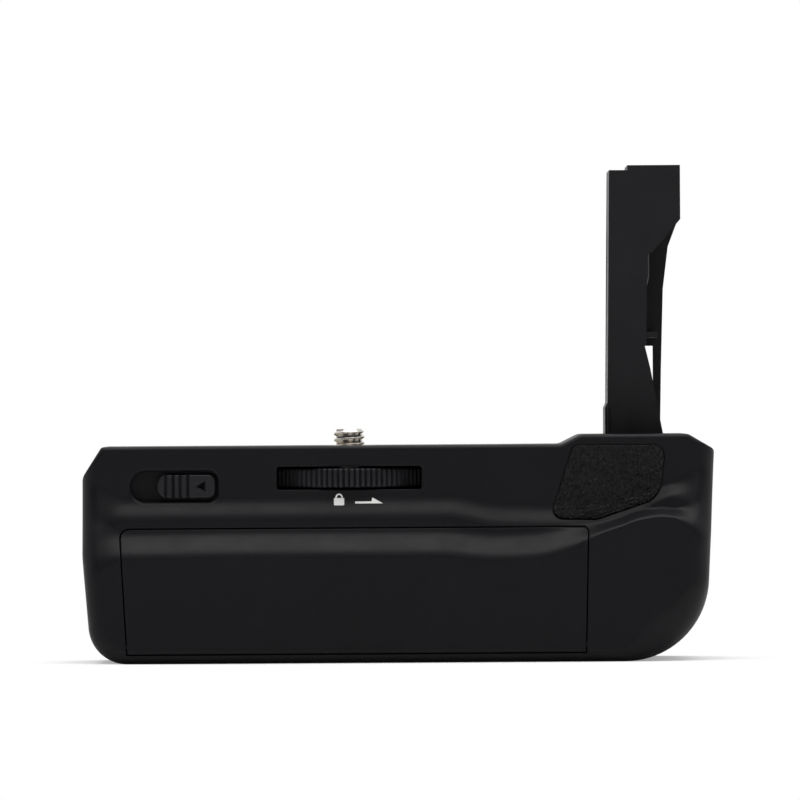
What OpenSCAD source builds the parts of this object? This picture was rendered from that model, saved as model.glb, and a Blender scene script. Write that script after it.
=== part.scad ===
// Camera battery grip: a moulded case that screws under a camera, with a battery stalk,
// a knurled lock wheel, two pack bays behind a hinged door and a slide latch.
// Millimetres. X runs along the case, -Y is the door side, +Z is up, Z = 0 is the table.

/* [Case] */
// Width of the case
body_w = 130; // [124:1:140]
// Height of the camera deck above the table
body_h = 44.6; // [43.6:0.2:48]
// Height that the shoulder round the stalk stands above the deck
shoulder_rise = 2; // [1.6:0.1:2.6]
// Depth from the parting plane to the upper rear band
rear_depth = 28.5; // [28:0.5:31]
// Depth that the middle rear band stands out from the upper one
mid_step = 2.5; // [2:0.1:3]
// Depth that the lower rear face stands out from the middle band
low_step = 4; // [3.4:0.1:4.6]
// Depth from the parting plane to the front face
front_depth = 23.5; // [23.5:0.5:26]
// Depth that the hand lobe stands out from the front face
lobe_step = 11.1; // [10.6:0.1:12]
// Wall thickness of the two half cases
wall = 2.4; // [2:0.1:2.8]

/* [Lock wheel] */
// Position of the camera screw along the case
screw_x = -10.1; // [-12:0.1:-8]
// Radius of the wheel over its knurl
wheel_r = 19; // [17.5:0.25:20]
// Thickness of the wheel
wheel_t = 3.9; // [3.4:0.1:4]
// Length of wheel that stands out of the case
wheel_proud = 1.2; // [0.8:0.1:1.6]
// Number of knurl grooves
knurls = 54; // [40:1:60]
// Outer radius of the camera screw thread
screw_r = 3.175; // [3.175:0.005:3.2]
// Length of camera screw above the deck
screw_stand = 3.4; // [3:0.1:4.5]

/* [Battery bays] */
// Width of one bay
bay_w = 36.8; // [35:0.1:37.4]
// Height of one bay
bay_h = 15.2; // [14:0.1:15.4]
// Thickness of the rib between the bays
bay_rib = 3.4; // [3:0.1:4]
// Wall thickness of the bay cage
cage_wall = 2; // [1.6:0.1:2]

/* [Door] */
// Height of the door's top edge
door_top = 27.5; // [27:0.1:28]
// Height of the door's bottom edge
door_bottom = 2.1; // [2:0.1:2.4]
// Gap round the door
door_gap = 0.4; // [0.3:0.05:0.5]
// Radius of the hinge pins
pin_r = 0.6; // [0.5:0.05:0.7]

/* [Latch] */
// Length of the slider
slider_w = 11.8; // [11:0.1:12.4]
// Height of the slider
slider_h = 4.8; // [4.2:0.1:5]
// Travel of the slider
latch_travel = 5; // [4:0.1:5]

/* [Stalk] */
// Width of the stalk's head
stalk_w = 14.7; // [13.4:0.1:15]
// Depth of the stalk
stalk_d = 36; // [34:0.5:36]
// Height of the stalk's top above the table
stalk_top = 102.2; // [98:0.2:104]

/* [Release button] */
// Radius of the button
button_r = 4.2; // [3.8:0.1:4.3]
// Travel of the button
button_travel = 1.2; // [0.8:0.1:1.4]

/* [Hidden] */
$fa = 6;
$fs = 0.5;
eps = 0.01;

// Clearances: faces that seat, pieces that turn or slide, plates in their recesses
touch = 0.02;
slip = 0.05;
fit = 0.2;

// Screws: shank radii, flush head radii and the cross slots in their heads
case_screw_r = 1;
stalk_screw_r = 0.9;
board_screw_r = 0.7;
deck_head_r = 2.05;
base_head_r = 1.95;
cross_w = 0.4;
cross_deep = 0.4;

// Case, with the plates that are let into its top and bottom
half_w = body_w / 2;
deck_z = body_h;
roof_z = deck_z - wall;
shoulder_z = body_h + shoulder_rise;
rear_total = rear_depth + mid_step + low_step;
front_total = front_depth + lobe_step;
foot_r = 3;
corner_r = 12;
hub_r = 2.5;
deck_t = 1.2;
deck_r = 3;
deck_x = [-half_w + 8, half_w - 34];
deck_y = [4 - rear_depth, front_depth - 4];
base_t = 1;
base_r = 4;
base_rim = 3;

// Rear steps: height over which each one eases, the lower one tighter towards the stalk's end
mid_soft = 5;
low_soft = 6.2;
low_tight = 2.2;
// Height added to both steps as they fade out into the rounded side, and the length of that end
side_fade = 8;
fade_over = 9;
tight_x = half_w - 33;
tight_over = 12;
lobe_x = half_w - 46;
lobe_over = 15;

// Soft skins: depth below the case's face, height above it, and the gaps round and under them
skin_deep = 0.55;
pad_proud = 0.35;
rubber_proud = 0.4;
skin_gap = 0.15;

// Wheel and camera screw hang from the deck
wheel_z = deck_z - 8.6;
wheel_mid = wheel_z + wheel_t / 2;
screw_y = -(rear_depth + wheel_proud - wheel_r);
journal_r = screw_r + 0.8;
axle_r = 2;
hub_case_r = 4.5;
collar_r = journal_r + 1;
collar_sunk = 1.5;
collar_h = 2.1;
slot_w = 29.7;
slot_h = wheel_t + 0.8;
knurl_w = 0.7;
knurl_deep = 0.5;
bracket_z = wheel_z - 3;
bracket_t = 1.2;
bracket_half = wheel_r + 5.6;
bracket_d = 10;
bush_r = journal_r + 1.2;
bush_flange_r = bush_r + 1.4;
bush_flange_t = 1.2;
clip_r = 3.6;
clip_t = 0.6;
clip_groove_r = 1.5;
socket_r = 5.5;
socket_flange_r = 7.5;
socket_deep = 6;
socket_h = 6.9;

// Latch: recess round the slider, stem through its floor, bolt plate behind it
latch_x = -half_w + 21.4;
latch_z = deck_z - 8.2;
slider_x = [latch_x - slider_w / 2, latch_x + slider_w / 2];
recess_x = [slider_x[0] - latch_travel - 0.5, slider_x[1] + 0.5];
recess_h = slider_h + 1.4;
recess_deep = 2.6;
recess_back = -rear_depth + recess_deep;
boss_back = recess_back + 2;
stem_x = [slider_x[0] + latch_travel + 1, slider_x[0] + latch_travel + 5];
stem_h = 2.2;
latch_screw_x = (stem_x[0] + stem_x[1]) / 2;
latch_head_h = 1;
rib_pitch = 1.5;
rib_gap = 0.6;
bolt_x = [latch_x - 7, latch_x + 7.4];
bolt_y = [boss_back + 0.3, boss_back + 1.5];
bolt_mid = (bolt_y[0] + bolt_y[1]) / 2;
finger_t = 0.8;
finger_y = bolt_y[0] - 2.8;
spring_z = latch_z - recess_h / 2 - 3.2;
spring_r = 1.1;
spring_wire = 0.2;

// Bay cage, its screws and the board on it
bay_z0 = 7.2;
cage_x0 = screw_x - bay_rib / 2 - bay_w - cage_wall;
cage_x1 = screw_x + bay_rib / 2 + bay_w + cage_wall;
cage_y0 = -(rear_depth + 0.1);
cage_y1 = front_depth - wall - 0.1;
cage_z0 = bay_z0 - cage_wall;
cage_z1 = bay_z0 + bay_h + cage_wall;
bay_back = cage_y1 - 2;
bay_shift = (bay_rib + bay_w) / 2;
base_x = [cage_x0 - 1.6, cage_x1 + 2];
base_y = [4.5 - rear_depth, front_depth - 5];
base_screw_x = [cage_x0 + 6.4, cage_x1 - 6];
base_screw_y = [base_y[0] + 7, base_y[1] - 7];
base_screw_l = 6;
boss_r = 3;
pillar_x = [cage_x0 + 6.4, cage_x1 - 8.6];
deck_screw_l = 10;
blade_w = 1.6;
blade_t = 0.4;
blade_pitch = 3.4;
board_t = 1.2;
board_post = 2;
board_z = cage_z1 + board_post;
board_top = board_z + board_t + touch;
board_x = [screw_x - 21, screw_x + 31];
board_y = [screw_y + bracket_d / 2 + 0.7, front_depth - 9.5];
pillar_r = 2.4;
pillar_y = [bolt_y[1] + latch_head_h + 0.4 + pillar_r, board_y[1] + fit + pillar_r];
board_screw_x = [board_x[0] + 3, board_x[1] - 7.6];
board_screw_y = [board_y[0] + 3, board_y[1] - 3];
plug_x = board_x[1] - 3;
plug_y = board_y[0] + 7;
plug_h = 4.3;

// Door outline, hinge line and keeper
door_left = -half_w + 7.8;
door_right = half_w - 26.2;
door_lean = 1.4;
door_skin_t = 2;
door_back = -(rear_depth + 0.7);
knuckle_r = 1.5;
hinge_y = -(rear_total - 1.6);
hinge_z = door_bottom + 1.5;
bolt_z = cage_z1 + 0.5;
keeper_x = bolt_x[1] + 0.6;
keeper_w = 3;
cushion_w = 24;
cushion_t = 0.78;

// Stalk, and the release button's corner of the hand lobe
stalk_x = half_w - 21;
stalk_y = -6;
stalk_back = stalk_y + stalk_d;
stalk_seam = stalk_y + stalk_d / 2;
stalk_wall = 2;
flange_z = shoulder_z - wall;
flange_t = 2.4;
lead_r = 0.55;
lead_pitch = 1.6;
lead_y = stalk_seam + 7.6;
release_x = half_w - 0.5 - corner_r;
release_y = front_total - corner_r;
release_z = deck_z - 20.6;
cup_r = button_r + 1.4;
cup_floor = 3.2;
cup_face = corner_r - 0.6;
button_h = 2.2;
switch_w = 4.6;
pusher_z = cup_face - 4.2;
jack_z = deck_z - 12.6;
jack_r = 3;
jack_x = -half_w + wall + jack_r + 1.6;
jack_h = 13;
jack_bore_r = 1.27;

// Lines of the two rear steps: place along the case in widths, height above the door's top edge
mid_line = [[-0.5, 4.2], [0.077, 4.4], [0.154, 2.7], [0.215, 2.4], [0.277, 2.2], [0.338, 2.9],
    [0.385, 4.7], [0.408, 6.5], [0.438, 7.7], [0.5, 8]];
low_line = [[-0.5, -3.1], [-0.23, -2.8], [0.062, -2.8], [0.154, -3.7], [0.215, -3.4], [0.277, -1.7],
    [0.346, 0.9], [0.385, 2.6], [0.415, 3.1], [0.446, 2.7], [0.5, 1.5]];

// Shared geometry

function unit(v) = v / norm(v);

function clamp(v, lo, hi) = min(hi, max(lo, v));

function ease(u) = let (c = clamp(u, 0, 1)) c * c * (3 - 2 * c);

// Arc of one rounded corner of a loop, from edge to edge
function corner_arc(before, at, after, r) =
    let (
        a = unit(before - at),
        b = unit(after - at),
        half = acos(a * b) / 2,
        centre = at + unit(a + b) * r / sin(half),
        from = at + a * r / tan(half) - centre,
        to = at + b * r / tan(half) - centre,
        start = atan2(from.y, from.x),
        turn = (atan2(to.y, to.x) - start + 540) % 360 - 180,
        n = max(2, ceil(abs(turn) / 14))
    )
    [for (i = [0 : n]) centre + r * [cos(start + turn * i / n), sin(start + turn * i / n)]];

// Loop of points from corners [x, z, radius], with long edges split into steps
function rounded_loop(corners, step_x = 200, step_z = 200) =
    let (
        n = len(corners),
        xz = [for (c = corners) [c.x, c.y]],
        raw = [for (i = [0 : n - 1])
            each corner_arc(xz[(i + n - 1) % n], xz[i], xz[(i + 1) % n], corners[i].z)],
        m = len(raw)
    )
    [for (i = [0 : m - 1])
        let (
            span = raw[(i + 1) % m] - raw[i],
            cuts = max(1, ceil(abs(span.x) / step_x), ceil(abs(span.y) / step_z))
        )
        for (k = [0 : cuts - 1]) raw[i] + span * k / cuts];

// Inward direction at each point of an anticlockwise loop
function inward(loop) =
    let (n = len(loop))
    [for (i = [0 : n - 1]) let (d = unit(loop[(i + 1) % n] - loop[(i + n - 1) % n])) [-d.y, d.x]];

// One column of a form: places from the rim towards the hub segment, each [x, z, drop]
function column(p, n, hub, r, turns, steps) =
    let (
        m = [clamp(p.x, hub[0], hub[1]), hub[2]],
        ray = unit(m - p),
        reach = norm(m - p),
        slant = max(0.4, n * ray)
    )
    concat(
        [for (k = [0 : turns]) let (a = 90 * k / turns)
            concat(p + ray * r * (1 - cos(a)) / slant, [r * (1 - sin(a))])],
        [for (k = [1 : steps])
            concat(p + ray * (r / slant + (reach - hub_r - r / slant) * k / steps), [0])]
    );

// Triangles that close a long ring between its lower and upper chains, each running left to right
function zip_chains(x, low, high, i = 0, j = 0) =
    i == len(low) - 1 && j == len(high) - 1 ? [] :
    let (
        ahead = j == len(high) - 1 || (i < len(low) - 1 && x[low[i + 1]] <= x[high[j + 1]]),
        third = ahead ? low[i + 1] : high[j + 1]
    )
    concat(
        low[i] == high[j] || third == low[i] || third == high[j] ? [] : [[low[i], high[j], third]],
        zip_chains(x, low, high, ahead ? i + 1 : i, ahead ? j : j + 1)
    );

function ring_cap(ring) =
    let (
        n = len(ring),
        x = [for (p = ring) p.x],
        left = search(min(x), x)[0],
        right = search(max(x), x)[0],
        span = (right - left + n) % n
    )
    zip_chains(x, [for (k = [0 : span]) (left + k) % n], [for (k = [0 : n - span]) (left - k + n) % n]);

function shifted(faces, by) = [for (f = faces) [for (v = f) v + by]];

function flipped(faces) = [for (f = faces) [f[2], f[1], f[0]]];

// Solid between a base and a shaped skin over one loop: side is -1 for the rear and 1 for the front.
// A flat base is one face, and a shaped base gets its own rings.
module form(loop, hub, skin, base, radius, side, turns = 3, steps = 22, flat = true) {
    n = len(loop);
    normals = inward(loop);
    cols = [for (i = [0 : n - 1]) column(loop[i], normals[i], hub, radius(normals[i]), turns, steps)];
    rings = len(cols[0]);
    floor_rings = flat ? [] : [for (k = [rings - 1 : -1 : turns + 1]) [for (c = cols)
        [c[k].x, side * base(c[k].x, c[k].y), c[k].y]]];
    rim = [[for (p = loop) [p.x, side * base(p.x, p.y), p.y]]];
    mid = [(hub[0] + hub[1]) / 2, side * base(hub[0], hub[2]), hub[2]];
    skin_rings = [for (k = [0 : rings - 1]) [for (c = cols)
        [c[k].x, side * (skin(c[k].x, c[k].y) - c[k].z), c[k].y]]];
    all_rings = concat(floor_rings, rim, skin_rings);
    last = len(all_rings) - 1;
    strips = [for (k = [0 : last - 1], i = [0 : n - 1]) let (
            a = k * n + i,
            b = k * n + (i + 1) % n
        ) each [[a, a + n, b + n], [a, b + n, b]]];
    floor_cap = flat ? [for (i = [0 : n - 1]) [(last + 1) * n, i, (i + 1) % n]]
        : flipped(ring_cap(all_rings[0]));
    faces = concat(strips, shifted(ring_cap(all_rings[last]), last * n), floor_cap);
    polyhedron(points = concat([for (r = all_rings) each r], flat ? [mid] : []),
        faces = side < 0 ? faces : flipped(faces));
}

// Round tube along a path of points
module tube(path, radius, sides = 8) {
    n = len(path);
    along = [for (k = [0 : n - 1]) unit(path[min(k + 1, n - 1)] - path[max(k - 1, 0)])];
    points = [for (k = [0 : n - 1]) let (
            u = unit(cross(along[k], [0.31, 0.94, 0.12])),
            v = cross(along[k], u)
        )
        for (s = [0 : sides - 1]) let (a = 360 * s / sides) path[k] + radius * (u * cos(a) + v * sin(a))];
    skin = [for (k = [0 : n - 2], s = [0 : sides - 1]) let (
            a = k * sides + s,
            b = k * sides + (s + 1) % sides
        ) each [[a, a + sides, b + sides], [a, b + sides, b]]];
    caps = [[for (s = [0 : sides - 1]) s], [for (s = [sides - 1 : -1 : 0]) (n - 1) * sides + s]];
    polyhedron(points = points, faces = concat(skin, caps));
}

// Prism over a loop in the X-Z plane, from y0 to y1
module prism(loop, y0, y1) {
    translate([0, y1, 0]) rotate([90, 0, 0]) linear_extrude(y1 - y0) polygon(loop);
}

// Block between pairs of limits
module box(x, y, z) {
    translate([x[0], y[0], z[0]]) cube([x[1] - x[0], y[1] - y[0], z[1] - z[0]]);
}

// Round bar along x
module rod_x(x, y, z, r) {
    translate([x[0], y, z]) rotate([0, 90, 0]) cylinder(h = x[1] - x[0], r = r);
}

// Limits of a plate with a gap inside its recess
function inside(limits) = [limits[0] + fit, limits[1] - fit];

// Upright plate with rounded corners
module plate(x, y, z, r) {
    translate([0, 0, z[0]]) linear_extrude(z[1] - z[0]) polygon(rounded_loop(
        [[x[0], y[0], r], [x[1], y[0], r], [x[1], y[1], r], [x[0], y[1], r]]));
}

// Cross cut into a screw's head, whose top is at z = 0
module cross_slot(head_r) {
    for (a = [0, 90]) rotate(a) translate([-head_r * 0.6, -cross_w / 2, -cross_deep])
        cube([head_r * 1.2, cross_w, 1]);
}

// Cross-head screw standing on its head's under face at z = 0, pointing down
module screw(r, length, head_r, head_h) {
    difference() {
        union() {
            translate([0, 0, -length]) cylinder(h = length + eps, r = r);
            cylinder(h = head_h, r = head_r);
        }
        translate([0, 0, head_h]) cross_slot(head_r);
    }
}

// Countersunk screw with its flat top at z = 0, pointing down
module flush_screw(r, length, head_r) {
    difference() {
        union() {
            translate([0, 0, -length]) cylinder(h = length, r = r);
            translate([0, 0, r - head_r]) cylinder(h = head_r - r, r1 = r, r2 = head_r);
        }
        cross_slot(head_r);
    }
}

// Countersunk hole for such a screw through a plate whose top is at z = 0
module flush_hole(r, head_r, deep) {
    translate([0, 0, -deep - 1]) cylinder(h = deep + 2, r = r + slip);
    translate([0, 0, r - head_r]) cylinder(h = head_r - r + eps, r1 = r + slip, r2 = head_r + slip + eps);
}

// Helical spring on the z axis from 0 to length
module coil(radius, wire, length, turns, per_turn = 10, sides = 6) {
    count = turns * per_turn;
    rise = (length - 2 * wire) / count;
    tube([for (k = [0 : count]) let (a = 360 * k / per_turn)
        [radius * cos(a), radius * sin(a), wire + rise * k]], wire, sides);
}

// Case outline and depth functions

case_corners = [
    [-half_w + 1.8, 0, 8], [half_w - 1.4, 0, 16.5], [half_w, deck_z - 1.2, 1.2],
    [half_w - 5.4, shoulder_z, 2], [half_w - 27.4, shoulder_z, 3], [half_w - 31.4, deck_z, 3],
    [-half_w + 4, deck_z, 1], [-half_w, deck_z - 6.3, 3], [-half_w, deck_z / 2 - 0.3, 25]];
case_loop = rounded_loop(case_corners, 4.5, 1.4);
case_hub = [-half_w + 14, half_w - 19, 12];
front_hub = [-half_w + 14, half_w - 19, deck_z / 2];

function mid_z(x) = door_top + lookup(x / body_w, mid_line);

function low_z(x) = door_top + lookup(x / body_w, low_line);

function fade(x) = side_fade * ease((x - half_w + fade_over) / fade_over);

function low_ease(x) = low_soft + (low_tight - low_soft) * ease((x - tight_x) / tight_over) + fade(x);

function rear(x, z) = rear_depth
    + mid_step * ease(0.5 + (mid_z(x) - z) / (mid_soft + fade(x)))
    + low_step * ease(0.5 + (low_z(x) - z) / low_ease(x));

function front(x, z) = front_depth + lobe_step * ease((x - lobe_x) / lobe_over);

// Edge radius for an inward direction, from the radii of the four sides and the lower right corner
function edge_radius(n, top, bottom, left, right, corner) =
    top * pow(max(0, -n.y), 2) + bottom * pow(max(0, n.y), 2)
    + left * pow(max(0, n.x), 2) + right * pow(max(0, -n.x), 2)
    + 2 * corner * max(0, -n.x) * max(0, n.y);

// Case loop moved inwards along its columns
function inset_loop(by) = let (normals = inward(case_loop)) [for (i = [0 : len(case_loop) - 1]) let (
        p = case_loop[i],
        ray = unit([clamp(p.x, case_hub[0], case_hub[1]), case_hub[2]] - p)
    ) p + ray * by / max(0.4, normals[i] * ray)];

module rear_form() {
    form(case_loop, case_hub, function(x, z) rear(x, z), function(x, z) 0,
        function(n) edge_radius(n, 1, foot_r, 3.5, 4, 4), -1);
}

module front_form() {
    form(case_loop, front_hub, function(x, z) front(x, z), function(x, z) 0,
        function(n) edge_radius(n, 1.5, 5, 3.5, corner_r, 0), 1, 4, 8);
}

pad_top = deck_z - 0.2;
pad_corners = [[half_w - 34, door_top + 1.8, 2], [half_w - 24, door_top + 1.6, 5],
    [half_w - 11.3, door_top + 6, 5], [half_w - 10, pad_top, 2.4], [half_w - 29, pad_top, 1.4]];
pad_hub = [half_w - 26, half_w - 16, deck_z - 7];
rubber_x = [half_w - 41, half_w - 14];
rubber_z = [5, deck_z - 4];
rubber_corners = [[rubber_x[0], rubber_z[0], 5], [rubber_x[1], rubber_z[0], 5],
    [rubber_x[1], rubber_z[1], 5], [rubber_x[0], rubber_z[1], 5]];
rubber_hub = [rubber_x[0] + 10, rubber_x[1] - 10, deck_z / 2];

// Corners moved out from their middle, for the recess round a skin
function grown(corners, by) = let (
        cx = [for (c = corners) c.x],
        cz = [for (c = corners) c.y],
        mid = [(min(cx) + max(cx)) / 2, (min(cz) + max(cz)) / 2]
    )
    [for (c = corners) [c.x + by * sign(c.x - mid.x), c.y + by * sign(c.y - mid.y), c.z + by]];

// Soft skin over the rear or front face, between two heights above that face
module rear_skin(corners, hub, low, high, r) {
    form(rounded_loop(corners, 3, 3), hub, function(x, z) rear(x, z) + high,
        function(x, z) rear(x, z) + low, function(n) r, -1, 1, 5, false);
}

module front_skin(corners, hub, low, high, r) {
    form(rounded_loop(corners, 3, 3), hub, function(x, z) front(x, z) + high,
        function(x, z) front(x, z) + low, function(n) r, 1, 1, 5, false);
}

// Door outline at a height of bottom edge, larger by a gap for the opening
function door_loop(bottom, by) = rounded_loop([
    [door_left + door_lean - by, bottom - by, 0.5 + by], [door_right - 0.6 + by, bottom - by, 0.5 + by],
    [door_right + by, door_top + by, 0.8 + by], [door_left - by, door_top + by, 1.7 + by]], 4.5, 2.5);

door_hub = [door_left + 12, door_right - 12, door_bottom + 8];

// Rear face with the rounded bottom edge of the case
function door_skin(x, z) = rear(x, z)
    - (z < foot_r ? foot_r - sqrt(foot_r * foot_r - pow(foot_r - z, 2)) : 0);

// Outline of the slider or its recess, with its left corners rounder than its right ones
function latch_loop(x, h, left_r, right_r) = let (low = latch_z - h / 2, high = latch_z + h / 2)
    rounded_loop([[x[0], low, left_r], [x[1], low, right_r], [x[1], high, right_r], [x[0], high, left_r]]);

// Openings that the two half cases share

module at_screw() {
    translate([screw_x, screw_y, 0]) children();
}

module at_pillars() {
    for (x = pillar_x, y = pillar_y) translate([x, y, 0]) children();
}

module at_base_screws() {
    for (x = base_screw_x, y = base_screw_y) translate([x, y, 0]) children();
}

module at_board_screws() {
    for (x = board_screw_x, y = board_screw_y) translate([x, y, 0]) children();
}

module at_flange_screws() {
    for (x = [stalk_x - 3.2, stalk_x + 12.4], y = [stalk_y + 6, stalk_back - 7])
        translate([x, y, 0]) children();
}

module at_bracket_screws() {
    for (s = [-1, 1]) translate([screw_x + s * (bracket_half + 3.4), screw_y, 0]) children();
}

module at_bays() {
    for (s = [-1, 1]) translate([screw_x + s * bay_shift, 0, 0]) children();
}

module at_jack() {
    translate([jack_x, 0, jack_z]) rotate([-90, 0, 0]) children();
}

module along_release() {
    translate([release_x, release_y, release_z]) rotate([0, 0, 45]) rotate([0, 90, 0]) children();
}

module case_openings() {
    plate(deck_x, deck_y, [deck_z - deck_t, shoulder_z + 5], deck_r);
    plate(base_x, base_y, [-5, base_t], base_r);
    plate([base_x[0] + base_rim, base_x[1] - base_rim], [base_y[0] + base_rim, base_y[1] - base_rim],
        [-5, wall + 1], base_r);
    at_pillars() translate([0, 0, roof_z - 2]) cylinder(h = 10, r = case_screw_r + fit);
    at_bracket_screws() translate([0, 0, roof_z - 1])
        cylinder(h = wall - deck_t + 0.7, r = case_screw_r + touch);
    at_flange_screws() translate([0, 0, flange_z - 1]) cylinder(h = 2.8, r = case_screw_r + touch);
    at_screw() translate([0, 0, roof_z - 5]) cylinder(h = 20, r = bush_r + fit);
    box([stalk_x - 1.8, stalk_x + 11.2], [stalk_y - 1.3, stalk_back + 0.3], [flange_z - 1, shoulder_z + 5]);
}

// Case

module rear_casing() {
    color([0.06, 0.06, 0.065]) difference() {
        union() {
            difference() {
                rear_form();
                prism(inset_loop(wall), -(rear_depth - wall), 1);
                box([half_w - 20, half_w - 10], [-(rear_total - wall), 4 - rear_depth], [10, door_top - 6.5]);
            }
            box([recess_x[0] - 2.6, recess_x[1] + 2.6], [1 - rear_depth, boss_back],
                [latch_z - recess_h / 2 - 1.7, latch_z + recess_h / 2 + 1.7]);
        }
        prism(door_loop(door_bottom, door_gap), -rear_total - 5, -rear_depth + wall + 0.5);
        rod_x([door_left - 4, door_right + 4], hinge_y, hinge_z, pin_r + touch);
        box([screw_x - slot_w / 2, screw_x + slot_w / 2], [-rear_total - 5, -rear_depth + wall + 5],
            [wheel_mid - slot_h / 2, wheel_mid + slot_h / 2]);
        prism(latch_loop(recess_x, recess_h, recess_h / 2 - slip, 1.2), -rear_total, recess_back);
        box([stem_x[0] - latch_travel - 0.5, stem_x[1] + 0.5], [-rear_total, 0],
            [latch_z - stem_h / 2 - 0.3, latch_z + stem_h / 2 + 0.3]);
        rear_skin(grown(pad_corners, skin_gap), pad_hub, -skin_deep - slip, 4, 0.2);
        case_openings();
    }
}

module front_casing() {
    color([0.06, 0.06, 0.065]) difference() {
        front_form();
        prism(inset_loop(wall), -1, front_depth - wall);
        box([half_w - 31, half_w - 6.6], [front_depth - wall - 1, front_total - wall - 0.4], [9, flange_z]);
        front_skin(grown(rubber_corners, skin_gap), rubber_hub, -skin_deep - slip, 4, 0.2);
        along_release() cylinder(h = 30, r = cup_r + slip);
        at_jack() cylinder(h = 60, r = jack_r + slip);
        case_openings();
    }
}

module top_deck() {
    color([0.07, 0.07, 0.075]) difference() {
        plate(inside(deck_x), inside(deck_y), [deck_z - deck_t, deck_z], deck_r - fit);
        at_screw() cylinder(h = 100, r = bush_r + touch);
        at_pillars() translate([0, 0, deck_z]) flush_hole(case_screw_r, deck_head_r, deck_t);
    }
}

// Bearing of the camera screw: its flange seats under the roof of the case
module deck_bush() {
    color([0.72, 0.6, 0.3]) at_screw() difference() {
        union() {
            translate([0, 0, roof_z - bush_flange_t]) cylinder(h = wall + bush_flange_t, r = bush_r);
            translate([0, 0, roof_z - touch - bush_flange_t]) cylinder(h = bush_flange_t, r = bush_flange_r);
        }
        cylinder(h = 100, r = journal_r + slip);
    }
}

module base_plate() {
    color([0.08, 0.08, 0.085]) difference() {
        plate(inside(base_x), inside(base_y), [0, base_t], base_r - fit);
        at_screw() translate([0, 0, -1]) cylinder(h = 5, r = socket_r + touch);
        at_base_screws() rotate([180, 0, 0]) flush_hole(case_screw_r, base_head_r, base_t);
    }
}

module tripod_bush() {
    color([0.72, 0.6, 0.3]) at_screw() difference() {
        union() {
            cylinder(h = socket_h, r = socket_r);
            translate([0, 0, base_t + touch]) cylinder(h = 1.2, r = socket_flange_r);
        }
        translate([0, 0, -1]) cylinder(h = socket_deep + 1, r = screw_r);
    }
}

module thumb_pad() {
    color([0.03, 0.03, 0.03]) rear_skin(pad_corners, pad_hub, -skin_deep, pad_proud, 0.3);
}

module grip_rubber() {
    color([0.03, 0.03, 0.03]) front_skin(rubber_corners, rubber_hub, -skin_deep, rubber_proud, 0.3);
}

// Battery stalk: places on it are measured up from the shoulder at its foot, or down from its top

function foot(x, up) = [stalk_x + x, shoulder_z + up];

function head(x, down) = [stalk_x + x, stalk_top - down];

left_wall = 1.9;
step_x = 3.8;
root = [[stalk_x - 0.7, flange_z - eps], [stalk_x + 10.8, flange_z - eps], foot(10.8, 0.3)];
crown = [head(stalk_w, 11.2), head(stalk_w, 0), head(step_x, 0), head(step_x, 1), head(0, 1)];
near_edge = concat(root, [foot(10.2, 3.3), foot(9.8, 5.6), foot(8.3, 13.6), foot(7.2, 18.2), foot(7.5, 18.4),
    head(7.8, 18.7), head(10.6, 16.1)], crown);
far_edge = concat(root, [foot(10.9, 3.3), foot(11.1, 13.4), foot(11.4, 23.5), foot(11.6, 30.2),
    head(12.7, 16.5)], crown);
head_edge = concat([head(0, 17.8), head(9, 17.8)], crown);
left_edge = [root[0], [stalk_x + left_wall, flange_z - eps], head(left_wall, 15.8), head(0, 15.8)];
side_foot = [[stalk_x - 1.1, flange_z - 1], [stalk_x, flange_z - 1], foot(0, 6.8), foot(-0.5, 6.8),
    foot(-1.1, 5.4)];

block_x = [stalk_x + 4.6, stalk_x + 11.6];
block_y = [stalk_y + 7, stalk_back - 7];
block_z = stalk_top - 6;
duct_x = [stalk_x + 6.6, stalk_x + 9.6];
duct_y = [stalk_seam - 5, lead_y + 3];
duct_z = stalk_top - 21.8;
shelf_x = [stalk_x + 1, stalk_x + 9.8];
shelf_z = [shoulder_z + 19.9, shoulder_z + 21.1];
window_z = [shoulder_z + 7.4, shoulder_z + 18.3];
post_x = [stalk_x + 1, stalk_x + 6.4];
post_half = 2.6;
post_d = 4;
stalk_screw_z = [shoulder_z + 11.4, duct_z];

module at_stalk_screws(y) {
    for (z = stalk_screw_z) translate([stalk_x + 4, y, z]) rotate([-90, 0, 0]) children();
}

module stalk_flange(y) {
    difference() {
        box([stalk_x - 4.8, stalk_x + 14], y, [flange_z - flange_t, flange_z]);
        box([stalk_x + left_wall, stalk_x + 8.6], [stalk_y + stalk_wall, stalk_back - stalk_wall],
            [flange_z - 5, flange_z + 5]);
        at_flange_screws() translate([0, 0, flange_z - 5]) cylinder(h = 10, r = case_screw_r + slip);
    }
}

// Pocket for the contact block, and the duct under it for the leads
module contact_pocket() {
    box(block_x, block_y, [block_z, stalk_top + 5]);
    box(duct_x, duct_y, [duct_z, stalk_top]);
}

module stalk_rear_half() {
    seam = stalk_seam - slip;
    color([0.06, 0.06, 0.065]) difference() {
        union() {
            prism(near_edge, stalk_y, stalk_y + stalk_wall);
            prism(head_edge, stalk_y, seam);
            prism(left_edge, stalk_y, seam);
            stalk_flange([stalk_y - 3.5, seam]);
            box([stalk_x + 0.1, stalk_x + 3.7], [stalk_y - 1, stalk_y + 1], [flange_z - 1, shoulder_z + 5.4]);
            prism(side_foot, stalk_y + stalk_wall, seam);
            box(shelf_x, [stalk_y + 1, seam - 6], shelf_z);
            for (z = stalk_screw_z) box(post_x, [stalk_seam - 6, seam], [z - post_half, z + post_half]);
        }
        contact_pocket();
        at_stalk_screws(seam - 5.5) cylinder(h = 20, r = stalk_screw_r + touch);
    }
}

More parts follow.
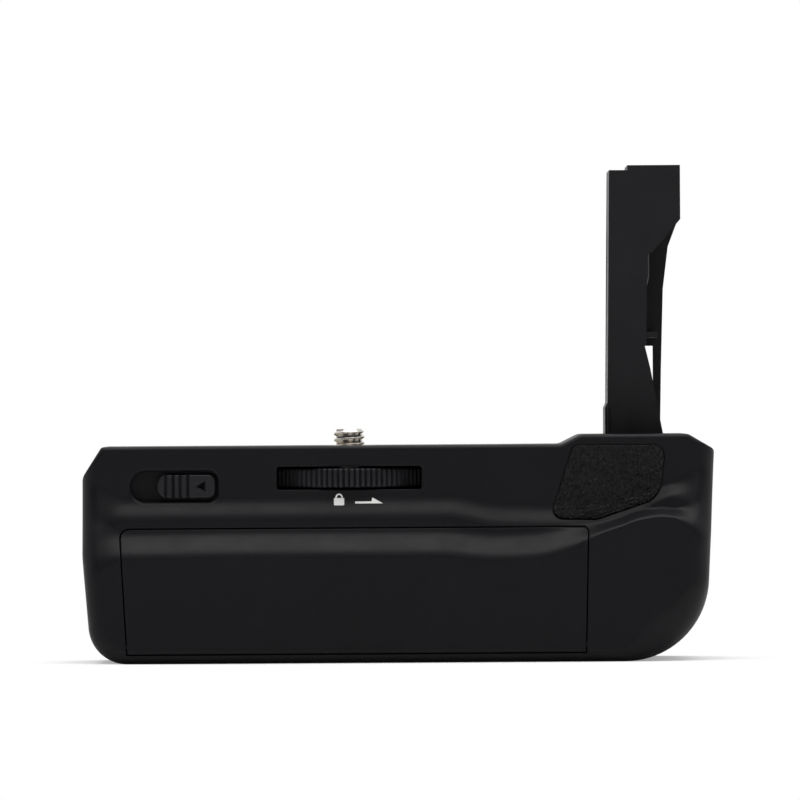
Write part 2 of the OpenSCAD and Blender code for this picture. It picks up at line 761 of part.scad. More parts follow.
module stalk_front_half() {
    seam = stalk_seam + slip;
    color([0.06, 0.06, 0.065]) difference() {
        union() {
            prism(far_edge, stalk_back - stalk_wall, stalk_back);
            prism(head_edge, seam, stalk_back);
            prism(left_edge, seam, stalk_back);
            stalk_flange([seam, stalk_back + 1.4]);
            prism(side_foot, seam, stalk_back - stalk_wall);
            box(shelf_x, [lead_y + 2.4, stalk_back - 1], shelf_z);
            for (z = stalk_screw_z) box(post_x, [seam, stalk_seam + post_d], [z - post_half, z + post_half]);
        }
        contact_pocket();
        box([stalk_x + 2.4, stalk_x + 9.4], [stalk_back - 3, stalk_back + 1], window_z);
        at_stalk_screws(seam - 1) cylinder(h = 60, r = stalk_screw_r + 0.12);
    }
}

module stalk_screws() {
    color([0.62, 0.62, 0.64]) at_stalk_screws(stalk_seam + post_d + touch)
        screw(stalk_screw_r, 8.5, 1.8, 1.2);
}

contact_pitch = 5.2;
contact_w = 1.8;

function contact_y(k) = stalk_seam + (k - 1.5) * contact_pitch;

module stalk_contact_block() {
    color([0.1, 0.1, 0.11]) difference() {
        box([block_x[0] + 0.1, block_x[1] - 0.1], [block_y[0] + 0.1, block_y[1] - 0.1],
            [block_z + slip, stalk_top - 0.4]);
        for (k = [0 : 3]) box([block_x[0] + 1.5, block_x[1] - 1.5],
            [contact_y(k) - contact_w / 2 - fit, contact_y(k) + contact_w / 2 + fit],
            [block_z - 4, stalk_top - 1]);
    }
}

module stalk_contacts() {
    color([0.85, 0.66, 0.3]) for (k = [0 : 3]) box([block_x[0] + 1.7, block_x[1] - 1.7],
        [contact_y(k) - contact_w / 2, contact_y(k) + contact_w / 2], [block_z + 0.6, stalk_top - 1.3]);
}

// Two leads from the contact block down the stalk to the board's connector
function lead_path(k) = let (
        y = lead_y + k * lead_pitch,
        pin_y = plug_y + k * lead_pitch,
        top = head(8.1, 0)
    )
    [[top.x, y, block_z], [top.x, y, duct_z - 1], [stalk_x + 7.6, y, duct_z - 3],
        [stalk_x + 3.4, y, duct_z - 6], [stalk_x + 2.9, y, duct_z - 8], [stalk_x + 2.9, y, flange_z - 5],
        [stalk_x + 2, y - 0.6, flange_z - 8], [plug_x + 2, pin_y + 1, board_top + plug_h + 2.7],
        [plug_x, pin_y, board_top + plug_h + 1.1], [plug_x, pin_y, board_top + plug_h + 0.1]];

module stalk_wires() {
    color([0.05, 0.05, 0.055]) for (s = [-0.5, 0.5]) tube(lead_path(s), lead_r);
}

// Battery bays and board

blade_slot_z = [bay_z0 + 9.4, bay_z0 + 11.6];

function blade_x(k) = screw_x + (k < 4 ? -1 : 1) * bay_shift + (k % 4 - 1.5) * blade_pitch;

module battery_cage() {
    color([0.1, 0.1, 0.11]) difference() {
        union() {
            box([cage_x0, cage_x1], [cage_y0, cage_y1], [cage_z0, cage_z1]);
            at_base_screws() translate([0, 0, base_t + touch]) cylinder(h = cage_z0 - base_t, r = boss_r);
            at_pillars() translate([0, 0, cage_z1 - 1])
                cylinder(h = roof_z - touch - cage_z1 + 1, r = pillar_r);
            at_board_screws() translate([0, 0, cage_z1 - 1]) cylinder(h = board_post + 1, r = 2);
        }
        at_bays() box([-bay_w / 2, bay_w / 2], [cage_y0 - 5, bay_back], [bay_z0, bay_z0 + bay_h]);
        at_base_screws() translate([0, 0, -1]) cylinder(h = base_screw_l + 1.2, r = case_screw_r + touch);
        at_pillars() translate([0, 0, deck_z - deck_screw_l - 3]) cylinder(h = 30, r = case_screw_r + touch);
        at_board_screws() translate([0, 0, cage_z1 - 0.5]) cylinder(h = 5, r = board_screw_r + touch);
        at_screw() cylinder(h = bay_z0, r = socket_r + fit);
        for (k = [0 : 7]) box([blade_x(k) - blade_w / 2 - 0.3, blade_x(k) + blade_w / 2 + 0.3],
            [bay_back - 1, cage_y1 + 1], blade_slot_z);
    }
}

// Sprung contact blades: each is a bow in front of the back wall with a tail through its slot
module bay_contacts() {
    tail_y = bay_back + 1.9;
    nose_y = bay_back - 1.9;
    nose_z = bay_z0 + 7;
    tail_z = blade_slot_z[1] - 0.2;
    tip_z = bay_z0 + 3;
    bow = [[tail_y, tail_z], [bay_back - 0.6, tail_z], [nose_y, nose_z + blade_t], [nose_y, nose_z - blade_t],
        [bay_back - 0.5, tip_z], [bay_back - 0.1, tip_z + 0.2], [nose_y + blade_t, nose_z - 0.3],
        [nose_y + blade_t, nose_z + 0.3], [bay_back - 0.3, tail_z - blade_t], [tail_y, tail_z - blade_t]];
    color([0.85, 0.66, 0.3]) for (k = [0 : 7]) translate([blade_x(k) - blade_w / 2, 0, 0])
        rotate([90, 0, 90]) linear_extrude(blade_w) polygon(bow);
}

module circuit_board() {
    color([0.05, 0.22, 0.1]) difference() {
        plate(board_x, board_y, [board_z + touch, board_z + board_t], 2);
        at_board_screws() cylinder(h = 100, r = board_screw_r + 0.25);
    }
}

// Connector, two chips, two capacitors and a row of small parts
module board_parts() {
    color([0.16, 0.16, 0.17]) translate([board_x[0], board_y[0], board_top]) {
        translate([plug_x - board_x[0], plug_y - board_y[0], 0]) box([-2.6, 2.6], [-6, 6], [0, plug_h]);
        box([10, 18], [2, 10], [0, 1.6]);
        box([24, 30], [8, 14], [0, 1.2]);
        for (x = [34, 40]) translate([x, 13, 0]) cylinder(h = 5, r = 2.5);
        for (x = [30 : 3 : 39]) box([x, x + 2], [0.8, 1.8], [0, 0.8]);
    }
}

module board_screws() {
    color([0.62, 0.62, 0.64]) at_board_screws() translate([0, 0, board_top])
        screw(board_screw_r, 3.4, 1.5, 0.9);
}

// Lock wheel

module wheel_bracket() {
    top = roof_z - touch;
    depth = [screw_y - bracket_d / 2, screw_y + bracket_d / 2];
    color([0.5, 0.5, 0.52]) difference() {
        union() {
            box([screw_x - bracket_half, screw_x + bracket_half], depth, [bracket_z, bracket_z + bracket_t]);
            for (s = [0, 1]) translate([screw_x, 0, 0]) mirror([s, 0, 0]) {
                box([bracket_half - 1.5, bracket_half], depth, [bracket_z, top]);
                box([bracket_half - 1.5, bracket_half + 6], depth, [top - bracket_t, top]);
            }
        }
        at_screw() cylinder(h = bracket_z + 3, r = axle_r + slip);
        at_bracket_screws() translate([0, 0, top - 5]) cylinder(h = 10, r = case_screw_r + slip);
    }
}

module lock_wheel() {
    hub_h = wheel_z - bracket_z - bracket_t - 0.1;
    color([0.07, 0.07, 0.075]) at_screw() translate([0, 0, wheel_z]) difference() {
        union() {
            cylinder(h = wheel_t, r = wheel_r, $fa = 2);
            translate([0, 0, -hub_h]) cylinder(h = hub_h + eps, r = hub_case_r);
        }
        for (k = [0 : knurls - 1]) rotate(360 * k / knurls)
            translate([wheel_r - knurl_deep, -knurl_w / 2, -1]) cube([2, knurl_w, wheel_t + 2]);
        translate([0, 0, -hub_h - 1]) cylinder(h = hub_h + wheel_t + 2, r = axle_r + touch);
        translate([0, 0, wheel_t - collar_sunk]) cylinder(h = 3, r = collar_r + touch);
    }
}

module camera_screw() {
    top = deck_z + screw_stand;
    tip = 0.5;
    collar_z = wheel_z + wheel_t - collar_sunk + touch;
    color([0.72, 0.72, 0.73]) at_screw() difference() {
        union() {
            translate([0, 0, bracket_z - 3]) cylinder(h = collar_z - bracket_z + 3.5, r = axle_r);
            translate([0, 0, collar_z]) cylinder(h = collar_h, r = collar_r);
            translate([0, 0, collar_z]) cylinder(h = deck_z - 0.1 - collar_z, r = journal_r);
            translate([0, 0, collar_z]) cylinder(h = top - tip - collar_z, r = screw_r);
            translate([0, 0, top - tip]) cylinder(h = tip, r1 = screw_r, r2 = screw_r - tip);
        }
        translate([0, 0, bracket_z - clip_t - 0.2]) difference() {
            cylinder(h = clip_t + 0.1, r = clip_r);
            translate([0, 0, -1]) cylinder(h = clip_t + 2, r = clip_groove_r);
        }
    }
}

// Open ring in the screw's groove, under the bracket
module wheel_clip() {
    color([0.3, 0.3, 0.32]) at_screw() translate([0, 0, bracket_z - clip_t - 0.15]) difference() {
        cylinder(h = clip_t, r = clip_r);
        translate([0, 0, -1]) cylinder(h = 3, r = clip_groove_r + touch);
        translate([0, -1.2, -1]) cube([6, 2.4, 3]);
    }
}

module bracket_screws() {
    color([0.62, 0.62, 0.64]) at_bracket_screws() translate([0, 0, roof_z - bracket_t - 2 * touch])
        rotate([180, 0, 0]) screw(case_screw_r, 2, 1.9, 1.2);
}

// Latch

module latch_slider() {
    face = -rear_depth - 0.3;
    back = recess_back - 0.3;
    arrow_x = slider_x[1] - 1.9;
    color([0.07, 0.07, 0.075]) difference() {
        union() {
            prism(latch_loop(slider_x, slider_h, 2, 0.8), face, back);
            box(stem_x, [back - 1, bolt_y[0] - touch], [latch_z - stem_h / 2, latch_z + stem_h / 2]);
        }
        for (k = [0 : 3]) translate([slider_x[0] + 1.4 + rib_pitch * k, 0, 0])
            box([0, rib_gap], [face - 1, face + 0.5], [latch_z - slider_h, latch_z + slider_h]);
        prism([[arrow_x - 2.3, latch_z], [arrow_x, latch_z - 1.25], [arrow_x, latch_z + 1.25]],
            face - 1, face + 0.5);
        translate([latch_screw_x, back - 1.4, latch_z]) rotate([-90, 0, 0])
            cylinder(h = 10, r = board_screw_r + touch);
    }
}

// Bolt plate behind the wall: its finger runs beside the door's keeper
module latch_bolt() {
    finger_z = [bolt_z, bolt_z + finger_t];
    root_x = bolt_x[1] - 4;
    color([0.55, 0.55, 0.57]) difference() {
        union() {
            box(bolt_x, bolt_y, [bolt_z, latch_z + slider_h / 2]);
            box([root_x, root_x + 2.6], [finger_y, bolt_y[1]], finger_z);
            box([root_x, bolt_x[1] + 0.2], [finger_y, finger_y + finger_t], finger_z);
            rod_x([bolt_x[0] - 1.6, bolt_x[0] + eps], bolt_mid, spring_z, 0.5);
        }
        translate([latch_screw_x, -rear_depth, latch_z]) rotate([-90, 0, 0])
            cylinder(h = 20, r = board_screw_r + 0.25);
    }
}

module latch_screw() {
    color([0.62, 0.62, 0.64]) translate([latch_screw_x, bolt_y[1] + touch, latch_z]) rotate([-90, 0, 0])
        screw(board_screw_r, 4, 1.6, latch_head_h);
}

// Return spring between the bolt plate and the end wall
module latch_spring() {
    x0 = -half_w + wall + 0.3;
    color([0.62, 0.62, 0.64]) translate([x0, bolt_mid, spring_z]) rotate([0, 90, 0])
        coil(spring_r, spring_wire, bolt_x[0] - slip - x0, 6);
}

// Door

module battery_door() {
    inner = [-rear_total + door_skin_t, 0];
    color([0.06, 0.06, 0.065]) difference() {
        union() {
            difference() {
                form(door_loop(door_bottom + 0.5, 0), door_hub, function(x, z) door_skin(x, z),
                    function(x, z) -door_back, function(n) 0.3, -1, 2, 14);
                box([door_left + 3, door_right - 2], inner, [door_bottom - 1, bay_z0 + bay_h + 0.4]);
                box([door_left - 5, door_right + 5], inner, [door_bottom - 1, hinge_z + 2]);
            }
            rod_x([door_left + 2, door_right - 1.2], hinge_y, hinge_z, knuckle_r);
            keeper();
        }
        rod_x([door_left - 4, door_left + 5.2], hinge_y, hinge_z, pin_r + slip);
        rod_x([door_right - 4.4, door_right + 4], hinge_y, hinge_z, pin_r + slip);
    }
}

// Keeper on the door's top edge, with a slot for the bolt's finger
module keeper() {
    difference() {
        box([keeper_x, keeper_x + keeper_w], [door_back - 0.5, bolt_y[0] - 0.9],
            [bolt_z - 0.3, bolt_z + finger_t + 0.3]);
        box([keeper_x - 1, keeper_x + keeper_w - 0.8], [finger_y - fit, finger_y + finger_t + fit],
            [bolt_z - 0.1, bolt_z + finger_t + 0.1]);
    }
}

module hinge_pins() {
    color([0.7, 0.7, 0.72]) {
        rod_x([door_left - 3.2, door_left + 4.2], hinge_y, hinge_z, pin_r);
        rod_x([door_right - 3.6, door_right + 3.4], hinge_y, hinge_z, pin_r);
    }
}

module door_cushions() {
    seat = -rear_total + door_skin_t + touch;
    color([0.12, 0.12, 0.12]) at_bays()
        box([-cushion_w / 2, cushion_w / 2], [seat, seat + cushion_t], [bay_z0 + 3, bay_z0 + 9]);
}

// Release button

module release_cup() {
    rim = 0.6;
    color([0.09, 0.09, 0.095]) along_release() difference() {
        union() {
            translate([0, 0, 2]) cylinder(h = cup_face - rim - 2, r = cup_r);
            translate([0, 0, cup_face - rim]) cylinder(h = rim, r1 = cup_r, r2 = cup_r - 0.5);
        }
        translate([0, 0, cup_floor]) cylinder(h = 20, r = button_r + 0.35);
        translate([0, 0, 5]) cube([switch_w + fit, switch_w + fit, 10], center = true);
    }
}

module release_button() {
    color([0.05, 0.05, 0.055]) along_release() {
        translate([0, 0, cup_face - button_h]) cylinder(h = button_h, r = button_r);
        translate([0, 0, cup_face]) cylinder(h = 0.5, r1 = button_r, r2 = button_r - 0.7);
        translate([0, 0, pusher_z]) cylinder(h = cup_face - button_h - pusher_z + fit, r = 1);
    }
}

module release_spring() {
    z0 = cup_floor + slip;
    color([0.62, 0.62, 0.64]) along_release() translate([0, 0, z0])
        coil(button_r - 0.6, 0.22, cup_face - button_h - slip - z0, 4, 12);
}

module release_switch() {
    color([0.16, 0.16, 0.17]) along_release() {
        translate([0, 0, 3.1]) cube([switch_w, switch_w, 3], center = true);
        translate([0, 0, 4.5]) cylinder(h = pusher_z - button_travel - 0.15 - 4.5, r = 1.2);
    }
}

module release_jack() {
    color([0.08, 0.08, 0.085]) at_jack() difference() {
        union() {
            translate([0, 0, front_depth - jack_h]) cylinder(h = jack_h, r = jack_r);
            translate([0, 0, front_depth]) cylinder(h = 0.5, r1 = jack_r, r2 = jack_r - 0.4);
        }
        translate([0, 0, front_depth - jack_h + 2]) cylinder(h = 20, r = jack_bore_r);
    }
}

// Fasteners

module base_screws() {
    color([0.2, 0.2, 0.21]) at_base_screws() rotate([180, 0, 0])
        flush_screw(case_screw_r, base_screw_l, base_head_r);
}

module deck_screws() {
    color([0.2, 0.2, 0.21]) at_pillars() translate([0, 0, deck_z])
        flush_screw(case_screw_r, deck_screw_l, deck_head_r);
}

module flange_screws() {
    color([0.62, 0.62, 0.64]) at_flange_screws() translate([0, 0, flange_z - flange_t - touch])
        rotate([180, 0, 0]) screw(case_screw_r, 4, 1.8, 1.2);
}

rear_casing();
front_casing();
top_deck();
deck_bush();
base_plate();
tripod_bush();
thumb_pad();
grip_rubber();
stalk_rear_half();
stalk_front_half();
stalk_contact_block();
stalk_contacts();
stalk_wires();
battery_cage();
bay_contacts();
circuit_board();
board_parts();
board_screws();
wheel_bracket();
lock_wheel();
camera_screw();
wheel_clip();
bracket_screws();
latch_slider();
latch_bolt();
latch_screw();
latch_spring();
battery_door();
hinge_pins();
door_cushions();
release_cup();
release_button();
release_spring();
release_switch();
release_jack();
base_screws();
deck_screws();
stalk_screws();
flange_screws();
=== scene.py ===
import math

import bmesh
import bpy
import numpy as np
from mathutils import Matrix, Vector


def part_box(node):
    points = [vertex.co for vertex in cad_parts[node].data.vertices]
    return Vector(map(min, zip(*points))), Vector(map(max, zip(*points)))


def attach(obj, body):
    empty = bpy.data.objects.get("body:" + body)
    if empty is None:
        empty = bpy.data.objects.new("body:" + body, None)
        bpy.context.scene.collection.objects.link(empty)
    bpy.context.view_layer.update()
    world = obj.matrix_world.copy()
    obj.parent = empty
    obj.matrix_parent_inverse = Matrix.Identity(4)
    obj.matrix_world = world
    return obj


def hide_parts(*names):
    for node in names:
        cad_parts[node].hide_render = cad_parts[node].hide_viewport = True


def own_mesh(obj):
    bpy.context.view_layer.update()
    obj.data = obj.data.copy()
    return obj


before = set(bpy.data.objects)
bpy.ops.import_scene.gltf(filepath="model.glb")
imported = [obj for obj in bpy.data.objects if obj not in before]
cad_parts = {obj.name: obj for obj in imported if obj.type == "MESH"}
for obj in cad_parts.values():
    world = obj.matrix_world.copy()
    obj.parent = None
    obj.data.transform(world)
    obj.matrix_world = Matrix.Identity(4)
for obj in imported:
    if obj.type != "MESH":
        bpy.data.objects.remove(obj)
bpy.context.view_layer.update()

# Lengths in the shape functions are millimetres, and a mesh is written in metres
MM = 0.001


def limits(node):
    """Lowest and highest corner of a CAD node, in millimetres."""
    low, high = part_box(node)
    return np.array(low) / MM, np.array(high) / MM


# Case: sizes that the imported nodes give, and the steps of its faces

case_low, case_high = limits("rear_casing")
door_low, door_high = limits("battery_door")
deck_low, deck_high = limits("top_deck")
plate_low, plate_high = limits("base_plate")
HALF_W = case_high[0]
BODY_W = 2 * HALF_W
DECK_Z = deck_high[2]
SHOULDER_Z = case_high[2]
REAR_TOTAL = -case_low[1]
FRONT_TOTAL = limits("front_casing")[1][1]
MID_STEP = 2.5
LOW_STEP = 4.0
LOBE_STEP = 11.1
REAR_DEPTH = REAR_TOTAL - MID_STEP - LOW_STEP
FRONT_DEPTH = FRONT_TOTAL - LOBE_STEP
WALL = 2.4
FIT = 0.2
FOOT_R = 3.0
CORNER_R = 12.0
SIDE_R = 4.0
LEFT_R = 3.5
SIDE_LEAN = 2.1
SEAM = 0.18
MID_SOFT = 5.0
MID_TIGHT = 3.6
LOW_SOFT = 6.2
LOW_TIGHT = 2.2
SIDE_FADE = 8.0
FADE_OVER = 9.0
DOOR_LEFT = door_low[0]
DOOR_RIGHT = door_high[0]
DOOR_TOP = door_high[2]
DOOR_FOOT = door_low[2]
DOOR_GAP = 0.3
DOOR_GROW = 0.1
DOOR_FOOT_X = [DOOR_LEFT + 1.4, DOOR_RIGHT - 0.6]
DOOR_SKIN = 2.0
DOOR_BACK = REAR_DEPTH + 0.7

# Lines of the two rear steps: place along the case in widths, height above the door's top edge
MID_LINE = [[-0.5, 4.2], [0.077, 4.4], [0.154, 2.7], [0.215, 2.4], [0.277, 2.2], [0.338, 2.9],
            [0.385, 4.7], [0.408, 6.5], [0.438, 7.7], [0.5, 8]]
LOW_LINE = [[-0.5, -3.1], [-0.23, -2.8], [0.062, -2.8], [0.154, -3.7], [0.215, -3.4], [0.277, -1.7],
            [0.346, 0.9], [0.385, 2.6], [0.415, 3.1], [0.446, 2.7], [0.5, 1.5]]

CASE_CORNERS = [
    [-HALF_W + 1.8, 0, 8], [HALF_W - SIDE_LEAN, 0, 17], [HALF_W, DECK_Z - 1.2, 1.2],
    [HALF_W - 5.4, SHOULDER_Z, 2], [HALF_W - 27.4, SHOULDER_Z, 3], [HALF_W - 31.4, DECK_Z, 3],
    [-HALF_W + 4, DECK_Z, 1], [-HALF_W, DECK_Z - 6.3, 3], [-HALF_W, DECK_Z / 2 - 0.3, 25]]
CASE_HUB = [-HALF_W + 14, HALF_W - 19, 12]
FRONT_HUB = [-HALF_W + 14, HALF_W - 19, DECK_Z / 2]
DOOR_HUB = [DOOR_LEFT + 12, DOOR_RIGHT - 12, DOOR_FOOT + 7.5]


# Shape functions on whole arrays

def ease(u):
    """Smooth step: three c squared less two c cubed, with c held between 0 and 1."""
    c = np.clip(u, 0, 1)
    return c * c * (3 - 2 * c)


def smooth_line(points, x):
    """Height at x of a line through points: cubic pieces whose slope at a point is the harmonic mean of the
    slopes on its two sides, or level where they differ in sign, so the line never overshoots."""
    along, height = np.array(points, float).T
    side = np.diff(height) / np.diff(along)
    same = side[:-1] * side[1:] > 0
    slope = np.zeros(len(along))
    slope[1:-1][same] = (2 * side[:-1] * side[1:])[same] / (side[:-1] + side[1:])[same]
    x = np.clip(x, along[0], along[-1])
    i = np.clip(np.searchsorted(along, x) - 1, 0, len(along) - 2)
    span = along[i + 1] - along[i]
    t = (x - along[i]) / span
    return ((2 * t ** 3 - 3 * t ** 2 + 1) * height[i] + (t ** 3 - 2 * t ** 2 + t) * span * slope[i]
            + (3 * t ** 2 - 2 * t ** 3) * height[i + 1] + (t ** 3 - t ** 2) * span * slope[i + 1])


def rear(x, z):
    """Depth of the rear face: the upper band, plus two smooth steps whose lines bend along the case and which
    fade out into the sides."""
    mid_z = DOOR_TOP + smooth_line(MID_LINE, x / BODY_W)
    low_z = DOOR_TOP + smooth_line(LOW_LINE, x / BODY_W)
    fade = SIDE_FADE * ease((np.abs(x) - HALF_W + FADE_OVER) / FADE_OVER)
    soft = LOW_SOFT + (LOW_TIGHT - LOW_SOFT) * ease((x - HALF_W + 33) / 12) + fade
    mid_soft = MID_SOFT + (MID_TIGHT - MID_SOFT) * ease((x - HALF_W + 17) / 7) + fade
    return (REAR_DEPTH + MID_STEP * ease(0.5 + (mid_z - z) / mid_soft)
            + LOW_STEP * ease(0.5 + (low_z - z) / soft))


def front(x, z):
    """Depth of the front face: a plain face with one smooth step out to the hand lobe."""
    return FRONT_DEPTH + LOBE_STEP * ease((x - HALF_W + 46) / 15)


def door_skin(x, z):
    """Rear face, drawn back by a quarter circle over the foot's radius."""
    below = np.maximum(0, FOOT_R - z)
    return rear(x, z) - (FOOT_R - np.sqrt(FOOT_R ** 2 - np.minimum(below, FOOT_R) ** 2))


def unit(v):
    return v / np.linalg.norm(v, axis=-1, keepdims=True)


def rounded_loop(corners, step, arc=6.0):
    """Closed loop through corners [x, z, radius], anticlockwise: an arc tangent to both edges at each corner,
    and straight edges between the arcs, shared out in steps."""
    corners = np.array(corners, float)
    at, radius = corners[:, :2], corners[:, 2:]
    before = unit(np.roll(at, 1, 0) - at)
    after = unit(np.roll(at, -1, 0) - at)
    half = np.arccos((before * after).sum(1))[:, None] / 2
    centre = at + unit(before + after) * radius / np.sin(half)
    first = at + before * radius / np.tan(half) - centre
    last = at + after * radius / np.tan(half) - centre
    start = np.arctan2(first[:, 1], first[:, 0])
    turn = (np.arctan2(last[:, 1], last[:, 0]) - start + 3 * np.pi) % (2 * np.pi) - np.pi
    arcs = []
    for c, r, a, t in zip(centre, radius[:, 0], start, turn):
        angle = a + t * np.linspace(0, 1, max(3, math.ceil(abs(np.degrees(t)) / arc)) + 1)
        arcs.append(c + r * np.stack([np.cos(angle), np.sin(angle)], 1))
    raw = np.concatenate(arcs)
    span = np.roll(raw, -1, 0) - raw
    cuts = np.maximum(1, np.ceil(np.linalg.norm(span, axis=1) / step)).astype(int)
    index = np.repeat(np.arange(len(raw)), cuts)
    share = (np.arange(len(index)) - np.repeat(np.cumsum(cuts) - cuts, cuts)) / cuts[index]
    return raw[index] + span[index] * share[:, None]


def inward(loop):
    """Inward direction at each point of an anticlockwise loop: its run past the point, turned left."""
    run = unit(np.roll(loop, -1, 0) - np.roll(loop, 1, 0))
    return np.stack([-run[:, 1], run[:, 0]], 1)


def strips(rings, n, base=0, closed=True):
    """Quads between neighbouring rings of n points."""
    last = n if closed else n - 1
    k, i = np.meshgrid(np.arange(rings - 1), np.arange(last), indexing="ij")
    j = (i + 1) % n
    return (base + np.stack([k * n + i, k * n + j, (k + 1) * n + j, (k + 1) * n + i], -1).reshape(-1, 4)).tolist()


def zip_cap(x, base=0):
    """Triangles that close a long ring. Its lower and upper chains run from its leftmost to its rightmost point,
    and each point, in order of x, makes a triangle with the last ones passed on both chains."""
    n = len(x)
    left, right = int(np.argmin(x)), int(np.argmax(x))
    low = (left + np.arange((right - left) % n + 1)) % n
    high = (left - np.arange((left - right) % n + 1)) % n
    order = np.concatenate([np.maximum.accumulate(x[low])[1:], np.maximum.accumulate(x[high])[1:]])
    from_low = np.argsort(order, kind="stable") < len(low) - 1
    i, j = np.cumsum(from_low), np.cumsum(~from_low)
    tri = np.stack([low[i - from_low], np.where(from_low, low[i], high[j]), high[j - ~from_low]], 1)
    whole = (tri[:, 0] != tri[:, 1]) & (tri[:, 1] != tri[:, 2]) & (tri[:, 2] != tri[:, 0])
    return (base + tri[whole]).tolist()


def piece(name, points, faces, sharp=38.0):
    """Object of points in millimetres and faces, merged, turned outwards and shaded smooth up to an angle."""
    mesh = bpy.data.meshes.new(name)
    mesh.from_pydata((np.asarray(points, float) * MM).tolist(), [], faces)
    work = bmesh.new()
    work.from_mesh(mesh)
    bmesh.ops.remove_doubles(work, verts=work.verts, dist=1e-7)
    bmesh.ops.recalc_face_normals(work, faces=work.faces)
    work.to_mesh(mesh)
    work.free()
    made = bpy.data.objects.new(name, mesh)
    bpy.context.scene.collection.objects.link(made)
    shade(made, sharp)
    return made


def shade(made, sharp=38.0):
    """Smooth shading, with edges steeper than an angle kept sharp."""
    mesh = made.data
    mesh.polygons.foreach_set("use_smooth", np.ones(len(mesh.polygons), bool))
    mesh.set_sharp_from_angle(angle=math.radians(sharp))


def side_roll(right, left):
    """Fall of the two rounded sides: quarter circles, measured from the right side's leaning line and from the
    left side's upright line, whichever is deeper."""
    def fall(x, z):
        edge = HALF_W - SIDE_LEAN * (1 - np.minimum(1, z / (DECK_Z - SIDE_LEAN)))
        out_right = np.clip(right - edge + x, 0, right)
        out_left = np.clip(left - HALF_W - x, 0, left)
        return np.maximum(right - np.sqrt(right ** 2 - out_right ** 2), left - np.sqrt(left ** 2 - out_left ** 2))
    return fall


def form(name, loop, hub, skin, under, radius, side, turns, steps, hub_r=2.5, seam=0.0, floor_steps=0, roll=None):
    """Closed pillow over a loop in the X-Z plane, on the rear (side -1) or the front (side 1). A column runs from
    each loop point towards the nearest point of a hub segment: its first places turn a quarter circle of the
    edge's radius, the rest share out the way in, and all lie at the skin's depth, or lower by a roll's fall. The
    under face is flat, or has rings of its own at its depth."""
    n = len(loop)
    normal = inward(loop)
    way = np.stack([np.clip(loop[:, 0], hub[0], hub[1]), np.full(n, hub[2])], 1) - loop
    reach = np.linalg.norm(way, axis=1)
    ray = way / reach[:, None]
    slant = np.maximum(0.4, (normal * ray).sum(1))
    r = radius(normal, loop[:, 1])
    angle = np.linspace(0, np.pi / 2, turns + 1)[:, None]
    share = np.linspace(0, 1, steps + 1)[1:, None]
    inset = np.vstack([r * (1 - np.cos(angle)) / slant, r / slant + (reach - hub_r - r / slant) * share])
    drop = np.vstack([r * (1 - np.sin(angle)), np.zeros((steps, n))])
    x = loop[:, 0] + ray[:, 0] * inset
    z = loop[:, 1] + ray[:, 1] * inset
    if roll:
        drop = np.maximum(drop, roll(x, z))
    rings = [np.stack([x, side * (skin(x, z) - drop), z], -1)]
    rim = np.stack([loop[:, 0], side * (under(*loop.T) + seam), loop[:, 1]], -1)
    rings.insert(0, rim[None])
    if seam:
        tucked = loop + normal * seam
        rings.insert(0, np.stack([tucked[:, 0], side * under(*loop.T), tucked[:, 1]], -1)[None])
    if floor_steps:
        way_in = np.linspace(1, 0, floor_steps + 1)[:-1, None] * (reach - hub_r)
        fx = loop[:, 0] + ray[:, 0] * way_in
        fz = loop[:, 1] + ray[:, 1] * way_in
        rings.insert(0, np.stack([fx, side * under(fx, fz), fz], -1))
    rings = np.concatenate(rings)
    count = len(rings)
    bottom = zip_cap(rings[0, :, 0]) if floor_steps else [list(range(n))]
    faces = strips(count, n) + zip_cap(rings[-1, :, 0], (count - 1) * n) + bottom
    return piece(name, rings.reshape(-1, 3), faces)


def loft(name, rings, sharp=38.0):
    """Closed solid through rings of equal count, with a flat cap on each end."""
    rings = np.asarray(rings, float)
    count, n = rings.shape[:2]
    caps = [list(range(n)), list(range((count - 1) * n, count * n))]
    return piece(name, rings.reshape(-1, 3), strips(count, n) + caps, sharp)


def prism(loop, y0, y1):
    """Cutter over a loop in the X-Z plane between two depths."""
    y = np.array([y0, y1])[:, None]
    return loft("cutter", np.stack(np.broadcast_arrays(loop[None, :, 0], y, loop[None, :, 1]), -1))


def plate(x, y, z, r):
    """Cutter with an upright outline of rounded corners between two heights."""
    loop = rounded_loop([[x[0], y[0], r], [x[1], y[0], r], [x[1], y[1], r], [x[0], y[1], r]], 200)
    height = np.array(z)[:, None]
    return loft("cutter", np.stack(np.broadcast_arrays(loop[None, :, 0], loop[None, :, 1], height), -1))


def block(x, y, z):
    """Cutter between pairs of limits."""
    loop = np.array([[x[0], y[0]], [x[1], y[0]], [x[1], y[1]], [x[0], y[1]]], float)
    height = np.array(z)[:, None]
    return loft("cutter", np.stack(np.broadcast_arrays(loop[None, :, 0], loop[None, :, 1], height), -1))


def rod(start, end, r, sides=48):
    """Round cutter between two points."""
    start, end = np.array(start, float), np.array(end, float)
    along = unit(end - start)
    across = unit(np.cross(along, [0.31, 0.94, 0.12]))
    other = np.cross(along, across)
    angle = np.linspace(0, 2 * np.pi, sides, endpoint=False)[:, None]
    ring = r * (across * np.cos(angle) + other * np.sin(angle))
    return loft("cutter", np.stack([start + ring, end + ring]))


